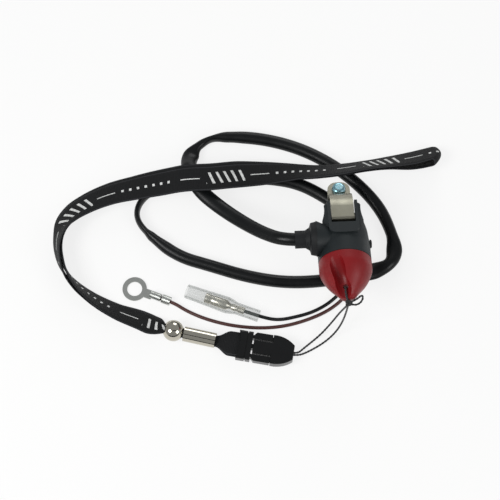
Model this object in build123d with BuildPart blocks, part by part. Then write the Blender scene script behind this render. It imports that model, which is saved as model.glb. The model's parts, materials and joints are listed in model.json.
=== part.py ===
# Magnetic engine kill switch for a handlebar, with its wires, tether and lanyard.
# Sizes are in millimetres. The origin is the centre of the handlebar seat.
# +X runs along the handlebar, -Y points towards the red cap and +Z is up.
import os
from math import cos, radians, sin, tan

from build123d import *

os.makedirs("parts", exist_ok=True)

# How the switch lies on the table
rest_tilt = 14.0
floor_z = -19.2

# Handlebar seat and housing
bar_d = 22.2
switch_d = 25.0
face_t = 24.5
drum_back_t = 17.0
block_w = 19.5
block_half_h = 12.6
block_corner = 4.0
cheek_back = 2.0
cheek_round = 1.8
seat_relief = 0.8
pad_w = 14.2
pad_front_t = 15.3
pad_wave = 0.5
pad_corner = 3.0
pad_rise = 0.8
slot_front_t = 10.1
bridge_lip_t = 4.0

# Clamp strap, its hooks and its screw
strap_w = 10.8
strap_thick = 1.0
hook_back_t = 6.8
hook_depth = 2.3
hook_bend = 1.4
ear_gap = 1.2
ear_end_t = -20.2
ear_corner = 4.2
ear_bend = 0.4
screw_t = -16.0
screw_d = 4.0
screw_hole_d = 4.4
screw_head_d = 6.6
screw_head_h = 2.4
screw_length = 9.0
nut_flats = 7.0
nut_h = 3.0
washer_face = 0.15

# Contact mechanism inside the drum
pocket_d = 16.6
pocket_back_t = 14.0
lid_d = 19.0
lid_thick = 1.2
spigot_gap = 0.4
spigot_h = 1.2
carrier_h = 5.5
spring_well_d = 6.0
spring_well_depth = 3.5
pin_inset = 2.0
pin_shank_d = 1.6
pin_head_d = 2.8
pin_head_h = 1.3
plate_gap = 0.8
plate_thick = 1.0
spring_d = 4.6
spring_wire = 0.5
spring_turns = 4

# Cap and magnet
cap_length = 20.0
cap_straight = 3.8
magnet_d = 16.0
magnet_thick = 3.0
groove_d = 7.2
web_thick = 3.2
groove_start = 4.5
groove_full = 12.5
groove_turn = 24.0
tie_hole_d = 2.6
tie_hole_from_rim = 14.0

# Cable exit
exit_t = 14.45
exit_h = 6.0
boss_d = 17.0
boss_inner_d = 10.5
boss_x = 13.0
boss_root_x = 6.0
flange_d = 16.3
flange_thick = 2.6
sleeve_d = 8.4
sleeve_end_x = 23.0
stem_d = 6.0
stem_length = 4.6
sheath_seat = 5.0
bar_gap = 0.5
plug_t = 14.8
plug_d = 4.2
plug_stem_d = 3.2
plug_depth = 2.4
plug_proud = 0.9

# Cords
sheath_d = 6.2
wire_d = 1.7
string_d = 0.9
webbing_w = 12.4
webbing_thick = 1.0

# Ring terminal
ring_centre = (-100.5, -25.0)
ring_turn = -23.7
ring_od = 11.8
ring_id = 7.2
lug_thick = 0.8
lug_neck_w = 4.4
lug_reach = 8.6
barrel_d = 3.8
barrel_length = 5.2
grip_d = 4.3
grip_length = 4.2
barrel_gap = 0.7

# Bullet connector
mouth_point = (-75.3, -28.2)
bullet_turn = -22.3
sleeve_length = 37.0
sleeve_mouth_d = 6.8
sleeve_belly_d = 8.0
sleeve_tail_d = 5.8
sleeve_wall = 0.6
belly_from_mouth = 20.0
tail_from_mouth = 25.5
socket_from_mouth = 9.6
socket_d = 4.9
bullet_d = 3.9
socket_depth = 9.0
socket_barrel = 12.0
crimp_d = 3.3
crimp_length = 8.0

# Lanyard hardware
tube_start = (-77.2, -49.2)
tube_turn = -15.2
tube_length = 15.4
tube_d = 7.2
tube_wall = 0.4
bead_d = 10.2
bead_bore = 5.6
bead_pitch = 10.0
bead_gap = 0.9
bunch_w = 4.4
bunch_thick = 2.8
loop_tail = 2.0

# Side release buckle, measured from the plug's webbing end
buckle_start = (-53.8, -55.2)
buckle_turn = -12.2
buckle_w = 14.0
buckle_h = 6.4
buckle_edge = 1.2
plug_start = 2.0
plug_block_end = 6.0
plug_groove = 0.5
plug_base = 2.2
plug_mouth_w = 12.9
plug_mouth_h = 4.4
plug_mouth_depth = 3.6
plug_scoop = 1.2
bar_pin_s = 3.5
bar_pin_d = 1.6
socket_start = 9.4
socket_length = 19.6
socket_end_w = 6.9
spine_w = 6.6
arm_inner = 3.8
arm_neck = 1.7
arm_h = 4.4
arm_reach = 18.4
arm_tip = 1.8
tongue_w = 2.2
tongue_h = 2.4
tongue_length = 9.0
string_hole_d = 2.0
string_hole_depth = 4.0

# Fits
fit = 0.1
running = 0.3
contact_gap = 0.05


# Places and planes of the switch, which is pitched by its rest tilt
toward_cap = Vector(0, -cos(radians(rest_tilt)), sin(radians(rest_tilt)))
strap_side = Vector(0, sin(radians(rest_tilt)), cos(radians(rest_tilt)))
switch_axis = Axis((0, 0, 0), toward_cap)


def on_switch(t, h=0.0, x=0.0):
    """Point t towards the cap, h towards the strap side and x along the bar."""
    return Vector(x, 0, 0) + toward_cap * t + strap_side * h


def across(t):
    """Plane square to the switch's axis: x along the bar, y to the strap side."""
    return Plane(origin=on_switch(t), x_dir=(1, 0, 0), z_dir=toward_cap)


def facing(h):
    """Plane parallel to the strap's flat: x along the bar, y away from the cap."""
    return Plane(origin=on_switch(0, h), x_dir=(1, 0, 0), z_dir=strap_side)


def sideways(t, h, x):
    """Plane square to the bar that faces left: x towards the cap, y to the strap side."""
    return Plane(origin=on_switch(t, h, x), x_dir=toward_cap, z_dir=(-1, 0, 0))


lengthways = sideways(0, 0, 0)
mid_plane = facing(0)
turning = Plane(origin=(0, 0, 0), x_dir=(1, 0, 0), z_dir=-strap_side)


def turned_face(points):
    """Closed outline of (radius, t) points, ready to turn about the switch's axis."""
    with BuildSketch(turning) as outline:
        with BuildLine():
            Polyline(*points, close=True)
        make_face()
    return outline.sketch


bar_r = bar_d / 2
strap_inner = bar_r
strap_outer = bar_r + strap_thick
bridge_h = strap_inner - fit
slot_floor_h = strap_outer - hook_depth - fit
lid_back_t = face_t - lid_thick
carrier_top_t = pocket_back_t + carrier_h
plate_top_t = lid_back_t - contact_gap
plate_back_t = plate_top_t - plate_thick
contact_travel = plate_back_t - contact_gap - carrier_top_t - pin_head_h
spring_floor_t = carrier_top_t - spring_well_depth
cap_back_t = face_t + fit
magnet_back_t = face_t + spigot_h + running
magnet_front_t = magnet_back_t + magnet_thick
spigot_r = magnet_d / 2 - spigot_gap
plate_r = pocket_d / 2 - plate_gap
pin_x = plate_r - pin_inset
above = 40.0


# Housing: a round drum that becomes the block straddling the handlebar
with BuildPart() as housing:
    with BuildSketch(across(drum_back_t)):
        Circle(switch_d / 2)
    extrude(amount=face_t - drum_back_t)
    with BuildSketch(across(-cheek_back)):
        RectangleRounded(block_w, 2 * block_half_h, block_corner)
    with BuildSketch(across(drum_back_t)):
        RectangleRounded(switch_d, switch_d, switch_d / 2 - 0.01)
    loft()
    fillet(housing.faces().sort_by(switch_axis)[0].edges(), cheek_round)
    # Raised pads round the strap channels, front edge slightly waved
    with BuildSketch(facing(block_half_h - 3)):
        with BuildLine():
            left = -pad_w / 2
            Polyline((left, -pad_front_t), (left, cheek_back - fit), (-left, cheek_back - fit), (-left, -pad_front_t))
            Spline((-left, -pad_front_t), (0, -pad_front_t - pad_wave), (left, -pad_front_t))
        make_face()
        fillet(vertices().sort_by(Axis.Y)[:2], pad_corner)
    extrude(amount=3 + pad_rise)
    mirror(about=mid_plane)
    # Boss for the cable grommet
    with BuildSketch(sideways(exit_t, exit_h, -boss_root_x)):
        Circle(boss_inner_d / 2)
    with BuildSketch(sideways(exit_t, exit_h, -boss_x)):
        Circle(boss_d / 2)
    loft()
    # Handlebar seat with a straight mouth, relieved beyond the block's width
    with BuildSketch(lengthways):
        Circle(bar_r)
        with Locations((-above / 2, 0)):
            Rectangle(above, bar_d)
    extrude(amount=above, both=True, mode=Mode.SUBTRACT)
    for side_x in (above, -block_w / 2):
        with BuildSketch(sideways(0, 0, side_x)):
            Circle(bar_r + seat_relief)
        extrude(amount=above - block_w / 2, mode=Mode.SUBTRACT)
    # Strap channel and hook slot, on both sides
    with BuildSketch(lengthways):
        with BuildLine():
            Polyline(
                (-above, above),
                (-above, bridge_h - 2),
                (bridge_lip_t, bridge_h - 2),
                (bridge_lip_t, bridge_h),
                (hook_back_t - fit, bridge_h),
                (hook_back_t - fit, slot_floor_h),
                (slot_front_t, slot_floor_h),
                (slot_front_t, above),
                close=True,
            )
        make_face()
        mirror(about=Plane.XZ)
    extrude(amount=strap_w / 2 + running, both=True, mode=Mode.SUBTRACT)
    # Round pocket for the contacts, with a seat for the face plate
    with BuildSketch(across(pocket_back_t)):
        Circle(pocket_d / 2)
    extrude(amount=above, mode=Mode.SUBTRACT)
    with BuildSketch(across(lid_back_t)):
        Circle(lid_d / 2 + fit)
    extrude(amount=above, mode=Mode.SUBTRACT)
    # Blind holes for the grommet's stem and the side plug
    with BuildSketch(sideways(exit_t, exit_h, -boss_x)):
        Circle(stem_d / 2 + fit)
    extrude(amount=-stem_length - fit, mode=Mode.SUBTRACT)
    with BuildSketch(sideways(plug_t, 0, switch_d / 2 - plug_depth - fit)):
        Circle(plug_stem_d / 2 + fit)
    extrude(amount=-above, mode=Mode.SUBTRACT)
housing.part.label = "housing"
export_step(housing.part, "parts/housing.step")


# Face plate that closes the pocket, with a spigot that centres the cap
with BuildPart() as face_plate:
    lid = [
        (0, lid_back_t),
        (lid_d / 2, lid_back_t),
        (lid_d / 2, face_t),
        (spigot_r, face_t),
        (spigot_r, face_t + spigot_h),
        (0, face_t + spigot_h),
    ]
    revolve(turned_face(lid), axis=switch_axis)
    chamfer(face_plate.edges().filter_by(GeomType.CIRCLE).sort_by(switch_axis)[-1], spigot_h / 3)
face_plate.part.label = "face_plate"
export_step(face_plate.part, "parts/face_plate.step")

# Insulating carrier with a spring well and two pin holes
with BuildPart() as contact_carrier:
    carrier = [
        (0, pocket_back_t),
        (pocket_d / 2 - fit, pocket_back_t),
        (pocket_d / 2 - fit, carrier_top_t),
        (spring_well_d / 2, carrier_top_t),
        (spring_well_d / 2, spring_floor_t),
        (0, spring_floor_t),
    ]
    revolve(turned_face(carrier), axis=switch_axis)
    with BuildSketch(across(pocket_back_t)):
        with GridLocations(2 * pin_x, 1, 2, 1):
            Circle(pin_shank_d / 2 + contact_gap)
    extrude(amount=carrier_h, mode=Mode.SUBTRACT)
contact_carrier.part.label = "contact_carrier"
export_step(contact_carrier.part, "parts/contact_carrier.step")


def contact_pin(x):
    """Brass rivet whose domed head is one of the two fixed contacts."""
    with BuildPart() as pin:
        with BuildSketch(across(pocket_back_t)):
            with Locations((x, 0)):
                Circle(pin_shank_d / 2)
        extrude(amount=carrier_h)
        with BuildSketch(across(carrier_top_t)):
            with Locations((x, 0)):
                Circle(pin_head_d / 2)
        extrude(amount=pin_head_h)
        fillet(pin.edges().sort_by(switch_axis)[-1], pin_head_h / 3)
    return pin


contact_pin_left = contact_pin(-pin_x)
contact_pin_left.part.label = "contact_pin_left"
export_step(contact_pin_left.part, "parts/contact_pin_left.step")
contact_pin_right = contact_pin(pin_x)
contact_pin_right.part.label = "contact_pin_right"
export_step(contact_pin_right.part, "parts/contact_pin_right.step")

# Steel contact plate, drawn against the face plate by the magnet
with BuildPart() as contact_plate:
    with BuildSketch(across(plate_back_t)):
        Circle(plate_r)
    extrude(amount=plate_thick)
contact_plate.part.label = "contact_plate"
export_step(contact_plate.part, "parts/contact_plate.step")

# Return spring between the carrier's well and the contact plate
spring_length = plate_back_t - spring_floor_t - spring_wire - 2 * contact_gap
with BuildPart() as contact_spring:
    with BuildLine():
        coil = Helix(
            pitch=spring_length / spring_turns,
            height=spring_length,
            radius=spring_d / 2,
            center=on_switch(spring_floor_t + spring_wire / 2 + contact_gap),
            direction=toward_cap,
        )
    with BuildSketch(Plane(origin=coil @ 0, z_dir=coil % 0)):
        Circle(spring_wire / 2)
    sweep(path=coil, is_frenet=True)
contact_spring.part.label = "contact_spring"
export_step(contact_spring.part, "parts/contact_spring.step")

# Magnet in the cap's recess
with BuildPart() as magnet:
    with BuildSketch(across(magnet_back_t)):
        Circle(magnet_d / 2)
    extrude(amount=magnet_thick)
magnet.part.label = "magnet"
export_step(magnet.part, "parts/magnet.step")

# Groove cutter for the cap's nose: steep at first, then along the axis
groove_r = groove_d / 2
groove_axis_h = web_thick / 2 + groove_r
groove_rise = switch_d / 2 + groove_r
with BuildPart() as groove_cutter:
    with BuildLine(lengthways):
        groove_path = FilletPolyline(
            (cap_back_t + groove_start - groove_r, groove_rise + groove_r),
            (cap_back_t + groove_full, groove_axis_h),
            (cap_back_t + cap_length + groove_r, groove_axis_h),
            radius=groove_d,
        )
    with BuildSketch(Plane(origin=groove_path @ 0, z_dir=groove_path % 0)):
        Circle(groove_r)
    sweep(path=groove_path)

# Cap: a turned nose with two opposite thumb grooves and a tie hole through the web between them
web_side = strap_side.rotate(Axis((0, 0, 0), toward_cap), groove_turn)
tie_t = cap_back_t + tie_hole_from_rim
nose_length = cap_length - cap_straight
nose_shape = ((0.9, 0.29), (0.69, 0.56), (0.38, 0.84))
with BuildPart() as cap:
    with BuildSketch(turning):
        with BuildLine():
            rim = switch_d / 2
            nose = [(rim * r, cap_back_t + cap_straight + nose_length * t) for r, t in nose_shape]
            Polyline((0, cap_back_t + cap_length), (0, cap_back_t), (rim, cap_back_t), (rim, cap_back_t + cap_straight))
            Spline(
                (rim, cap_back_t + cap_straight),
                *nose,
                (0, cap_back_t + cap_length),
                tangents=((0, 1), (-1, 0)),
            )
        make_face()
    revolve(axis=switch_axis)
    fillet(cap.edges().filter_by(GeomType.CIRCLE).sort_by(switch_axis)[0], running)
    for turn in (groove_turn, groove_turn + 180):
        add(groove_cutter.part.rotate(switch_axis, turn), mode=Mode.SUBTRACT)
    with BuildSketch(across(cap_back_t)):
        Circle(magnet_d / 2 + fit)
    extrude(amount=magnet_front_t + contact_gap - cap_back_t, mode=Mode.SUBTRACT)
    with BuildSketch(Plane(origin=toward_cap * tie_t, x_dir=toward_cap, z_dir=web_side)):
        Circle(tie_hole_d / 2)
    extrude(amount=web_thick, both=True, mode=Mode.SUBTRACT)
cap.part.label = "cap"
export_step(cap.part, "parts/cap.step")


def on_circle(radius, degrees):
    """Point on a circle about the handlebar's centre, in (t, h)."""
    return (radius * cos(radians(degrees)), radius * sin(radians(degrees)))


# Upper clamp strap: hook, run over the bar, and rear ear
ear_low = ear_gap / 2
ear_top = ear_low + strap_thick
arc_top = (-((strap_outer**2 - ear_top**2) ** 0.5), ear_top)
arc_low = (-((strap_inner**2 - ear_low**2) ** 0.5), ear_low)
hook_low = strap_outer - hook_depth
with BuildPart() as clamp_strap_upper:
    with BuildSketch(lengthways):
        with BuildLine():
            Polyline(
                (0, strap_inner),
                (hook_back_t, strap_inner),
                (hook_back_t, hook_low),
                (hook_back_t + strap_thick, hook_low),
                (hook_back_t + strap_thick, strap_outer),
                (0, strap_outer),
            )
            ThreePointArc((0, strap_outer), on_circle(strap_outer, 135), arc_top)
            Polyline(arc_top, (ear_end_t, ear_top), (ear_end_t, ear_low), arc_low)
            ThreePointArc(arc_low, on_circle(strap_inner, 135), (0, strap_inner))
        make_face()
        fillet(vertices().sort_by_distance((hook_back_t + strap_thick, strap_outer))[0], hook_bend)
        fillet(vertices().sort_by_distance((hook_back_t, strap_inner))[0], hook_bend - strap_thick)
        fillet(vertices().sort_by_distance(arc_top)[0], ear_bend)
    extrude(amount=strap_w / 2, both=True)
    ear_edges = clamp_strap_upper.edges().filter_by(Axis((0, 0, 0), strap_side))
    fillet(ear_edges.sort_by(switch_axis)[:2], ear_corner)
    with BuildSketch(facing(0)):
        with Locations((0, -screw_t)):
            Circle(screw_hole_d / 2)
    extrude(amount=ear_top, mode=Mode.SUBTRACT)
clamp_strap_upper.part.label = "clamp_strap_upper"
export_step(clamp_strap_upper.part, "parts/clamp_strap_upper.step")

# Lower clamp strap, the same pressing turned over
with BuildPart() as clamp_strap_lower:
    mirror(clamp_strap_upper.part, about=mid_plane)
clamp_strap_lower.part.label = "clamp_strap_lower"
export_step(clamp_strap_lower.part, "parts/clamp_strap_lower.step")

# Pan head screw with a cross recess
with BuildPart() as clamp_screw:
    with BuildSketch(facing(ear_top)):
        with Locations((0, -screw_t)):
            Circle(screw_head_d / 2)
    extrude(amount=screw_head_h)
    fillet(clamp_screw.edges().sort_by(Axis((0, 0, 0), strap_side))[-1], screw_head_h * 0.7)
    with BuildSketch(facing(ear_top)):
        with Locations((0, -screw_t)):
            Circle(screw_d / 2)
    extrude(amount=-screw_length)
    with BuildSketch(facing(ear_top + screw_head_h)):
        with Locations((0, -screw_t)):
            Rectangle(screw_head_d * 0.6, screw_d / 4)
            Rectangle(screw_d / 4, screw_head_d * 0.6)
    extrude(amount=-screw_head_h * 0.6, taper=12, mode=Mode.SUBTRACT)
clamp_screw.part.label = "clamp_screw"
export_step(clamp_screw.part, "parts/clamp_screw.step")

# Hexagon nut under the lower ear
with BuildPart() as clamp_nut:
    with BuildSketch(facing(-ear_top)):
        with Locations((0, -screw_t)):
            RegularPolygon(nut_flats / 2, 6, major_radius=False)
            Circle(screw_d / 2 + contact_gap, mode=Mode.SUBTRACT)
    extrude(amount=-nut_h)
clamp_nut.part.label = "clamp_nut"
export_step(clamp_nut.part, "parts/clamp_nut.step")

# Rubber grommet with a flange, a sleeve for the cable and a stem in the housing
exit_axis = Axis(on_switch(exit_t, exit_h), (-1, 0, 0))
flange_edge = 0.6
with BuildPart() as cable_grommet:
    with BuildSketch(Plane(origin=on_switch(exit_t, exit_h), x_dir=(-1, 0, 0), z_dir=toward_cap)):
        with BuildLine():
            Polyline(
                (boss_x - stem_length, 0),
                (boss_x - stem_length, stem_d / 2),
                (boss_x, stem_d / 2),
                (boss_x, flange_d / 2),
                (boss_x + flange_thick, flange_d / 2 - flange_edge),
                (boss_x + flange_thick + flange_edge, sleeve_d / 2 + flange_thick / 2),
                (boss_x + 2 * flange_thick, sleeve_d / 2),
                (sleeve_end_x, sleeve_d / 2),
                (sleeve_end_x, sheath_d / 2 + contact_gap),
                (sleeve_end_x - sheath_seat, sheath_d / 2 + contact_gap),
                (sleeve_end_x - sheath_seat, 0),
                close=True,
            )
        make_face()
    revolve(axis=exit_axis)
    with BuildSketch(lengthways):
        Circle(bar_r + bar_gap)
    extrude(amount=above, both=True, mode=Mode.SUBTRACT)
cable_grommet.part.label = "cable_grommet"
export_step(cable_grommet.part, "parts/cable_grommet.step")

# Domed plug on the right side of the drum
with BuildPart() as side_plug:
    with BuildSketch(sideways(plug_t, 0, switch_d / 2 - plug_depth)):
        Circle(plug_stem_d / 2)
    extrude(amount=-plug_depth)
    with BuildSketch(sideways(plug_t, 0, switch_d / 2)):
        Circle(plug_d / 2)
    extrude(amount=-plug_proud)
    fillet(side_plug.edges().sort_by(Axis.X)[-1], plug_proud * 0.8)
side_plug.part.label = "side_plug"
export_step(side_plug.part, "parts/side_plug.step")


def laid(points, diameter):
    """Points in space; those given without a height lie on the floor."""
    low = floor_z + diameter / 2
    return [Vector(*point) if len(point) == 3 else Vector(*point, low) for point in points]


def cord(name, spots, diameter):
    """Round cord: straight runs joined by arcs as wide as the runs allow."""
    runs = [after - before for before, after in zip(spots, spots[1:])]
    radii = []
    for before, after in zip(runs, runs[1:]):
        half_turn = radians(before.get_angle(after)) / 2
        radii.append(0.45 * min(before.length, after.length) / tan(half_turn))
    with BuildPart() as tube:
        with BuildLine():
            route = FilletPolyline(*spots, radius=radii)
        with BuildSketch(Plane(origin=route @ 0, z_dir=route % 0)):
            Circle(diameter / 2)
        sweep(path=route)
    print(name, "length", round(route.length, 1), "volume ratio", end=" ")
    print(round(tube.part.volume / (route.length * 3.14159 * diameter**2 / 4), 4), end=" radii ")
    print(*[round(radius, 1) for radius in radii])
    return tube


# Cable sheath: down from the grommet, twice round under the lanyard, and in below the drum
hump_z = floor_z + 1.55 * sheath_d
sheath_points = [
    tuple(on_switch(exit_t, exit_h, sheath_seat - sleeve_end_x)),
    tuple(on_switch(exit_t, exit_h, -sleeve_end_x - sheath_seat + 0.5)),
    (-36.8, -6.6, 2.2),
    (-46.5, 1.6, -4.2),
    (-57.5, 11.6, -9.0),
    (-67.5, 21.4, hump_z),
    (-71.9, 32.0, hump_z),
    (-72.4, 39.2, -13.4),
    (-69.0, 46.3),
    (-61.0, 51.2),
    (-50.0, 51.4),
    (-33.9, 49.3),
    (-16.7, 43.6),
    (-1.0, 34.2),
    (11.5, 22.9),
    (20.8, 10.5),
    (25.4, -2.0),
    (26.8, -11.0),
    (24.4, -18.4),
    (16.5, -21.6),
    (1.4, -24.4),
    (-14.0, -26.0),
    (-30.1, -25.4),
    (-47.0, -21.6),
    (-64.0, -15.4),
    (-78.0, -10.6),
    (-90.0, -1.2),
    (-97.6, 7.0),
    (-99.0, 14.5),
    (-94.5, 22.0),
    (-84.0, 27.3),
    (-70.0, 28.8),
    (-52.0, 29.6),
    (-34.0, 28.6),
    (-18.7, 25.3),
    (-6.0, 17.6),
    (4.6, 8.6),
    (9.4, -1.0),
    (9.0, -9.5),
    (7.2, -14.4),
]
sheath_spots = laid(sheath_points, sheath_d)
lead_sheath = cord("lead_sheath", sheath_spots, sheath_d)
lead_sheath.part.label = "lead_sheath"
export_step(lead_sheath.part, "parts/lead_sheath.step")

# Wires: out of the sheath's end, over its lower run and along the floor
wire_out = (sheath_spots[-1] - sheath_spots[-2]).normalized()
wire_apart = wire_out.cross(Vector(0, 0, 1)) * (wire_d / 2 + contact_gap)
black_start = sheath_spots[-1] + wire_apart
brown_start = sheath_spots[-1] - wire_apart
wire_lead = wire_out * 1.5 * wire_d
over_z = floor_z + sheath_d + wire_d
black_points = [
    (4.2, -20.4, over_z),
    (2.2, -27.2, over_z),
    (-1.0, -31.6, floor_z + 1.5 * wire_d),
    (-7.6, -36.8),
    (-15.5, -40.6),
    (-23.0, -42.4),
    (-31.4, -44.0, -17.4),
]
brown_points = [
    (6.4, -21.0, over_z),
    (4.4, -28.4, over_z),
    (0.6, -34.4, floor_z + 1.3 * wire_d),
    (-7.6, -40.2),
    (-18.2, -44.4),
    (-29.4, -47.0),
    (-41.0, -47.4),
    (-54.0, -45.6),
    (-66.0, -42.0),
    (-75.5, -37.4),
]

# Ring terminal at the end of the brown wire
lying = floor_z + contact_gap
ring_axis = Plane(origin=(*ring_centre, lying), x_dir=Vector(1, 0, 0).rotate(Axis.Z, ring_turn), z_dir=(0, 0, 1))
barrel_end = lug_reach + barrel_length
grip_start = barrel_end + barrel_gap
ring_tail = grip_start + grip_length
barrel_plane = Plane(origin=ring_axis.from_local_coords((lug_reach, 0, grip_d / 2)), z_dir=ring_axis.x_dir)
grip_plane = barrel_plane.offset(barrel_length + barrel_gap)
with BuildPart() as ring_terminal:
    with BuildSketch(ring_axis):
        Circle(ring_od / 2)
        with Locations((lug_reach / 2, 0)):
            Rectangle(lug_reach + 1, lug_neck_w)
        with Locations((ring_tail / 2, 0)):
            Rectangle(ring_tail, wire_d)
        Circle(ring_id / 2, mode=Mode.SUBTRACT)
    extrude(amount=lug_thick)
    with BuildSketch(barrel_plane):
        Circle(barrel_d / 2)
    extrude(amount=barrel_length)
    with BuildSketch(grip_plane):
        Circle(grip_d / 2)
    extrude(amount=grip_length)
    with BuildSketch(grip_plane):
        Circle(wire_d / 2 + contact_gap)
    extrude(amount=grip_length, mode=Mode.SUBTRACT)
ring_terminal.part.label = "ring_terminal"
export_step(ring_terminal.part, "parts/ring_terminal.step")

brown_end = grip_plane.origin
brown_bend = grip_plane.offset(grip_length + 2.4).origin
brown_spots = [brown_start, brown_start + wire_lead] + laid(brown_points, wire_d) + [brown_bend, brown_end]
wire_brown = cord("wire_brown", brown_spots, wire_d)
wire_brown.part.label = "wire_brown"
export_step(wire_brown.part, "parts/wire_brown.step")

# Bullet socket inside its clear sleeve
bullet_z = floor_z + sleeve_belly_d / 2 + fit
bullet_start = Vector(*mouth_point, bullet_z)
bullet_along = Vector(1, 0, 0).rotate(Axis.Z, bullet_turn)
bullet_axis = Axis(bullet_start, bullet_along)
bullet_side = Plane(origin=bullet_start, x_dir=bullet_along, z_dir=(0, 0, 1))


def turned_part(side, points, axis):
    """Solid turned about an axis from (distance along it, radius) points."""
    with BuildPart() as turned:
        with BuildSketch(side):
            with BuildLine():
                Polyline(*points, close=True)
            make_face()
        revolve(axis=axis)
    return turned


crimp_start = socket_from_mouth + socket_barrel
crimp_end = crimp_start + crimp_length
socket_outline = [
    (socket_from_mouth + socket_depth, 0),
    (socket_from_mouth + socket_depth, bullet_d / 2),
    (socket_from_mouth, bullet_d / 2),
    (socket_from_mouth, socket_d / 2),
    (crimp_start - 1, socket_d / 2),
    (crimp_start, crimp_d / 2),
    (crimp_end, crimp_d / 2),
    (crimp_end, 0),
]
bullet_socket = turned_part(bullet_side, socket_outline, bullet_axis)
bullet_socket.part.label = "bullet_socket"
export_step(bullet_socket.part, "parts/bullet_socket.step")

sleeve_outside = [
    (0, sleeve_mouth_d / 2),
    (belly_from_mouth, sleeve_belly_d / 2),
    (tail_from_mouth, sleeve_tail_d / 2),
    (sleeve_length, sleeve_tail_d / 2),
]
sleeve_inside = [(x, radius - sleeve_wall) for x, radius in reversed(sleeve_outside)]
bullet_sleeve = turned_part(bullet_side, sleeve_outside + sleeve_inside, bullet_axis)
bullet_sleeve.part.label = "bullet_sleeve"
export_step(bullet_sleeve.part, "parts/bullet_sleeve.step")

black_end = bullet_start + bullet_along * crimp_end
black_bend = bullet_start + bullet_along * (sleeve_length + 2.4)
black_spots = [black_start, black_start + wire_lead] + laid(black_points, wire_d) + [black_bend, black_end]
wire_black = cord("wire_black", black_spots, wire_d)
wire_black.part.label = "wire_black"
export_step(wire_black.part, "parts/wire_black.step")

# Crimp tube that joins the lanyard to the buckle's loop
tube_along = Vector(1, 0, 0).rotate(Axis.Z, tube_turn)
tube_origin = Vector(*tube_start, floor_z + tube_d / 2)
tube_plane = Plane(origin=tube_origin, z_dir=tube_along)
with BuildPart() as crimp_tube:
    with BuildSketch(tube_plane):
        Circle(tube_d / 2)
        Circle(tube_d / 2 - tube_wall, mode=Mode.SUBTRACT)
    extrude(amount=tube_length)
crimp_tube.part.label = "crimp_tube"
export_step(crimp_tube.part, "parts/crimp_tube.step")

# Round bead that slides on the lanyard, against the tube's end
bead_half = ((bead_d / 2) ** 2 - (bead_bore / 2) ** 2) ** 0.5
bead_centre = tube_origin - tube_along * (bead_half + bead_gap)
bead_centre.Z = floor_z + bead_d / 2
bead_along = tube_along.rotate(Axis((0, 0, 0), tube_along.cross(Vector(0, 0, 1))), -bead_pitch)
bead_side = Plane(origin=bead_centre, x_dir=bead_along, z_dir=bead_along.cross(Vector(0, 0, 1)))
with BuildPart() as slide_bead:
    with BuildSketch(bead_side):
        with BuildLine():
            Line((-bead_half, bead_bore / 2), (bead_half, bead_bore / 2))
            ThreePointArc((bead_half, bead_bore / 2), (0, bead_d / 2), (-bead_half, bead_bore / 2))
        make_face()
    revolve(axis=Axis(bead_centre, bead_along))
slide_bead.part.label = "slide_bead"
export_step(slide_bead.part, "parts/slide_bead.step")

# Lanyard webbing: two layers from the crimp tube to the far fold.
# Each station is x, y, z, width, thickness and roll about the strip's length.
two_layers = 2 * webbing_thick
inside_tube = tube_origin + tube_along * loop_tail
at_bead = bead_centre - bead_along * (bead_half + running)
stations = [
    (inside_tube.X, inside_tube.Y, tube_origin.Z + 0.6, bunch_w, bunch_thick, 0),
    (bead_centre.X, bead_centre.Y, bead_centre.Z, bunch_w, bunch_thick, 0),
    (at_bead.X, at_bead.Y, at_bead.Z, bunch_w, bunch_thick, 0),
    (-88.4, -46.0, -14.2, 7.8, two_layers, 8),
    (-91.8, -44.6, -15.4, 11.4, two_layers, 15),
    (-97.2, -41.6, -16.0, webbing_w, two_layers, 20),
    (-109.4, -36.8, -15.6, webbing_w, two_layers, 24),
    (-121.5, -29.4, -14.7, webbing_w, two_layers, 35),
    (-127.4, -24.4, -13.9, webbing_w, two_layers, 46),
    (-131.9, -19.0, -13.3, webbing_w, two_layers, 56),
    (-135.0, -12.5, -13.0, webbing_w, two_layers, 65),
    (-136.6, -5.5, -12.9, webbing_w, two_layers, 75),
    (-136.8, 1.5, -12.9, webbing_w, two_layers, 88),
    (-135.4, 9.0, -12.9, webbing_w, two_layers, 106),
    (-130.8, 15.6, -13.3, webbing_w, two_layers, 124),
    (-123.4, 19.2, -14.4, webbing_w, two_layers, 142),
    (-111.0, 22.6, -13.6, webbing_w, two_layers, 160),
    (-98.0, 24.4, -10.8, webbing_w, two_layers, 172),
    (-84.0, 25.8, -8.4, webbing_w, two_layers, 180),
    (-75.0, 25.6, -4.9, webbing_w, two_layers, 180),
    (-61.0, 26.2, -4.9, webbing_w, two_layers, 180),
    (-49.0, 28.2, -8.6, webbing_w, two_layers, 180),
    (-36.0, 29.2, -11.2, webbing_w, two_layers, 170),
    (-21.0, 28.2, -10.6, webbing_w, two_layers, 153),
    (-9.0, 27.4, -7.9, webbing_w, two_layers, 140),
    (3.0, 28.2, -7.2, webbing_w, two_layers, 137),
    (14.0, 30.4, -8.6, webbing_w, two_layers, 138),
    (25.0, 32.9, -12.6, webbing_w, two_layers, 143),
    (38.0, 34.4, -15.0, webbing_w, two_layers, 149),
    (52.7, 36.0, -15.4, webbing_w, two_layers, 153),
]
places = [Vector(*station[:3]) for station in stations]
nexts = places[1:] + [places[-1] * 2 - places[-2]]
lasts = [places[0] * 2 - places[1]] + places[:-1]
with BuildPart() as lanyard_webbing:
    for station, place, ahead, behind in zip(stations, places, nexts, lasts):
        width, thick, roll = station[3:]
        along = (ahead - behind).normalized()
        sidewards = Vector(0, 0, 1).cross(along).normalized()
        wide = sidewards.rotate(Axis((0, 0, 0), along), roll)
        with BuildSketch(Plane(origin=place, x_dir=wide, z_dir=along)):
            Rectangle(width, thick)
    loft(ruled=True)
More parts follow.
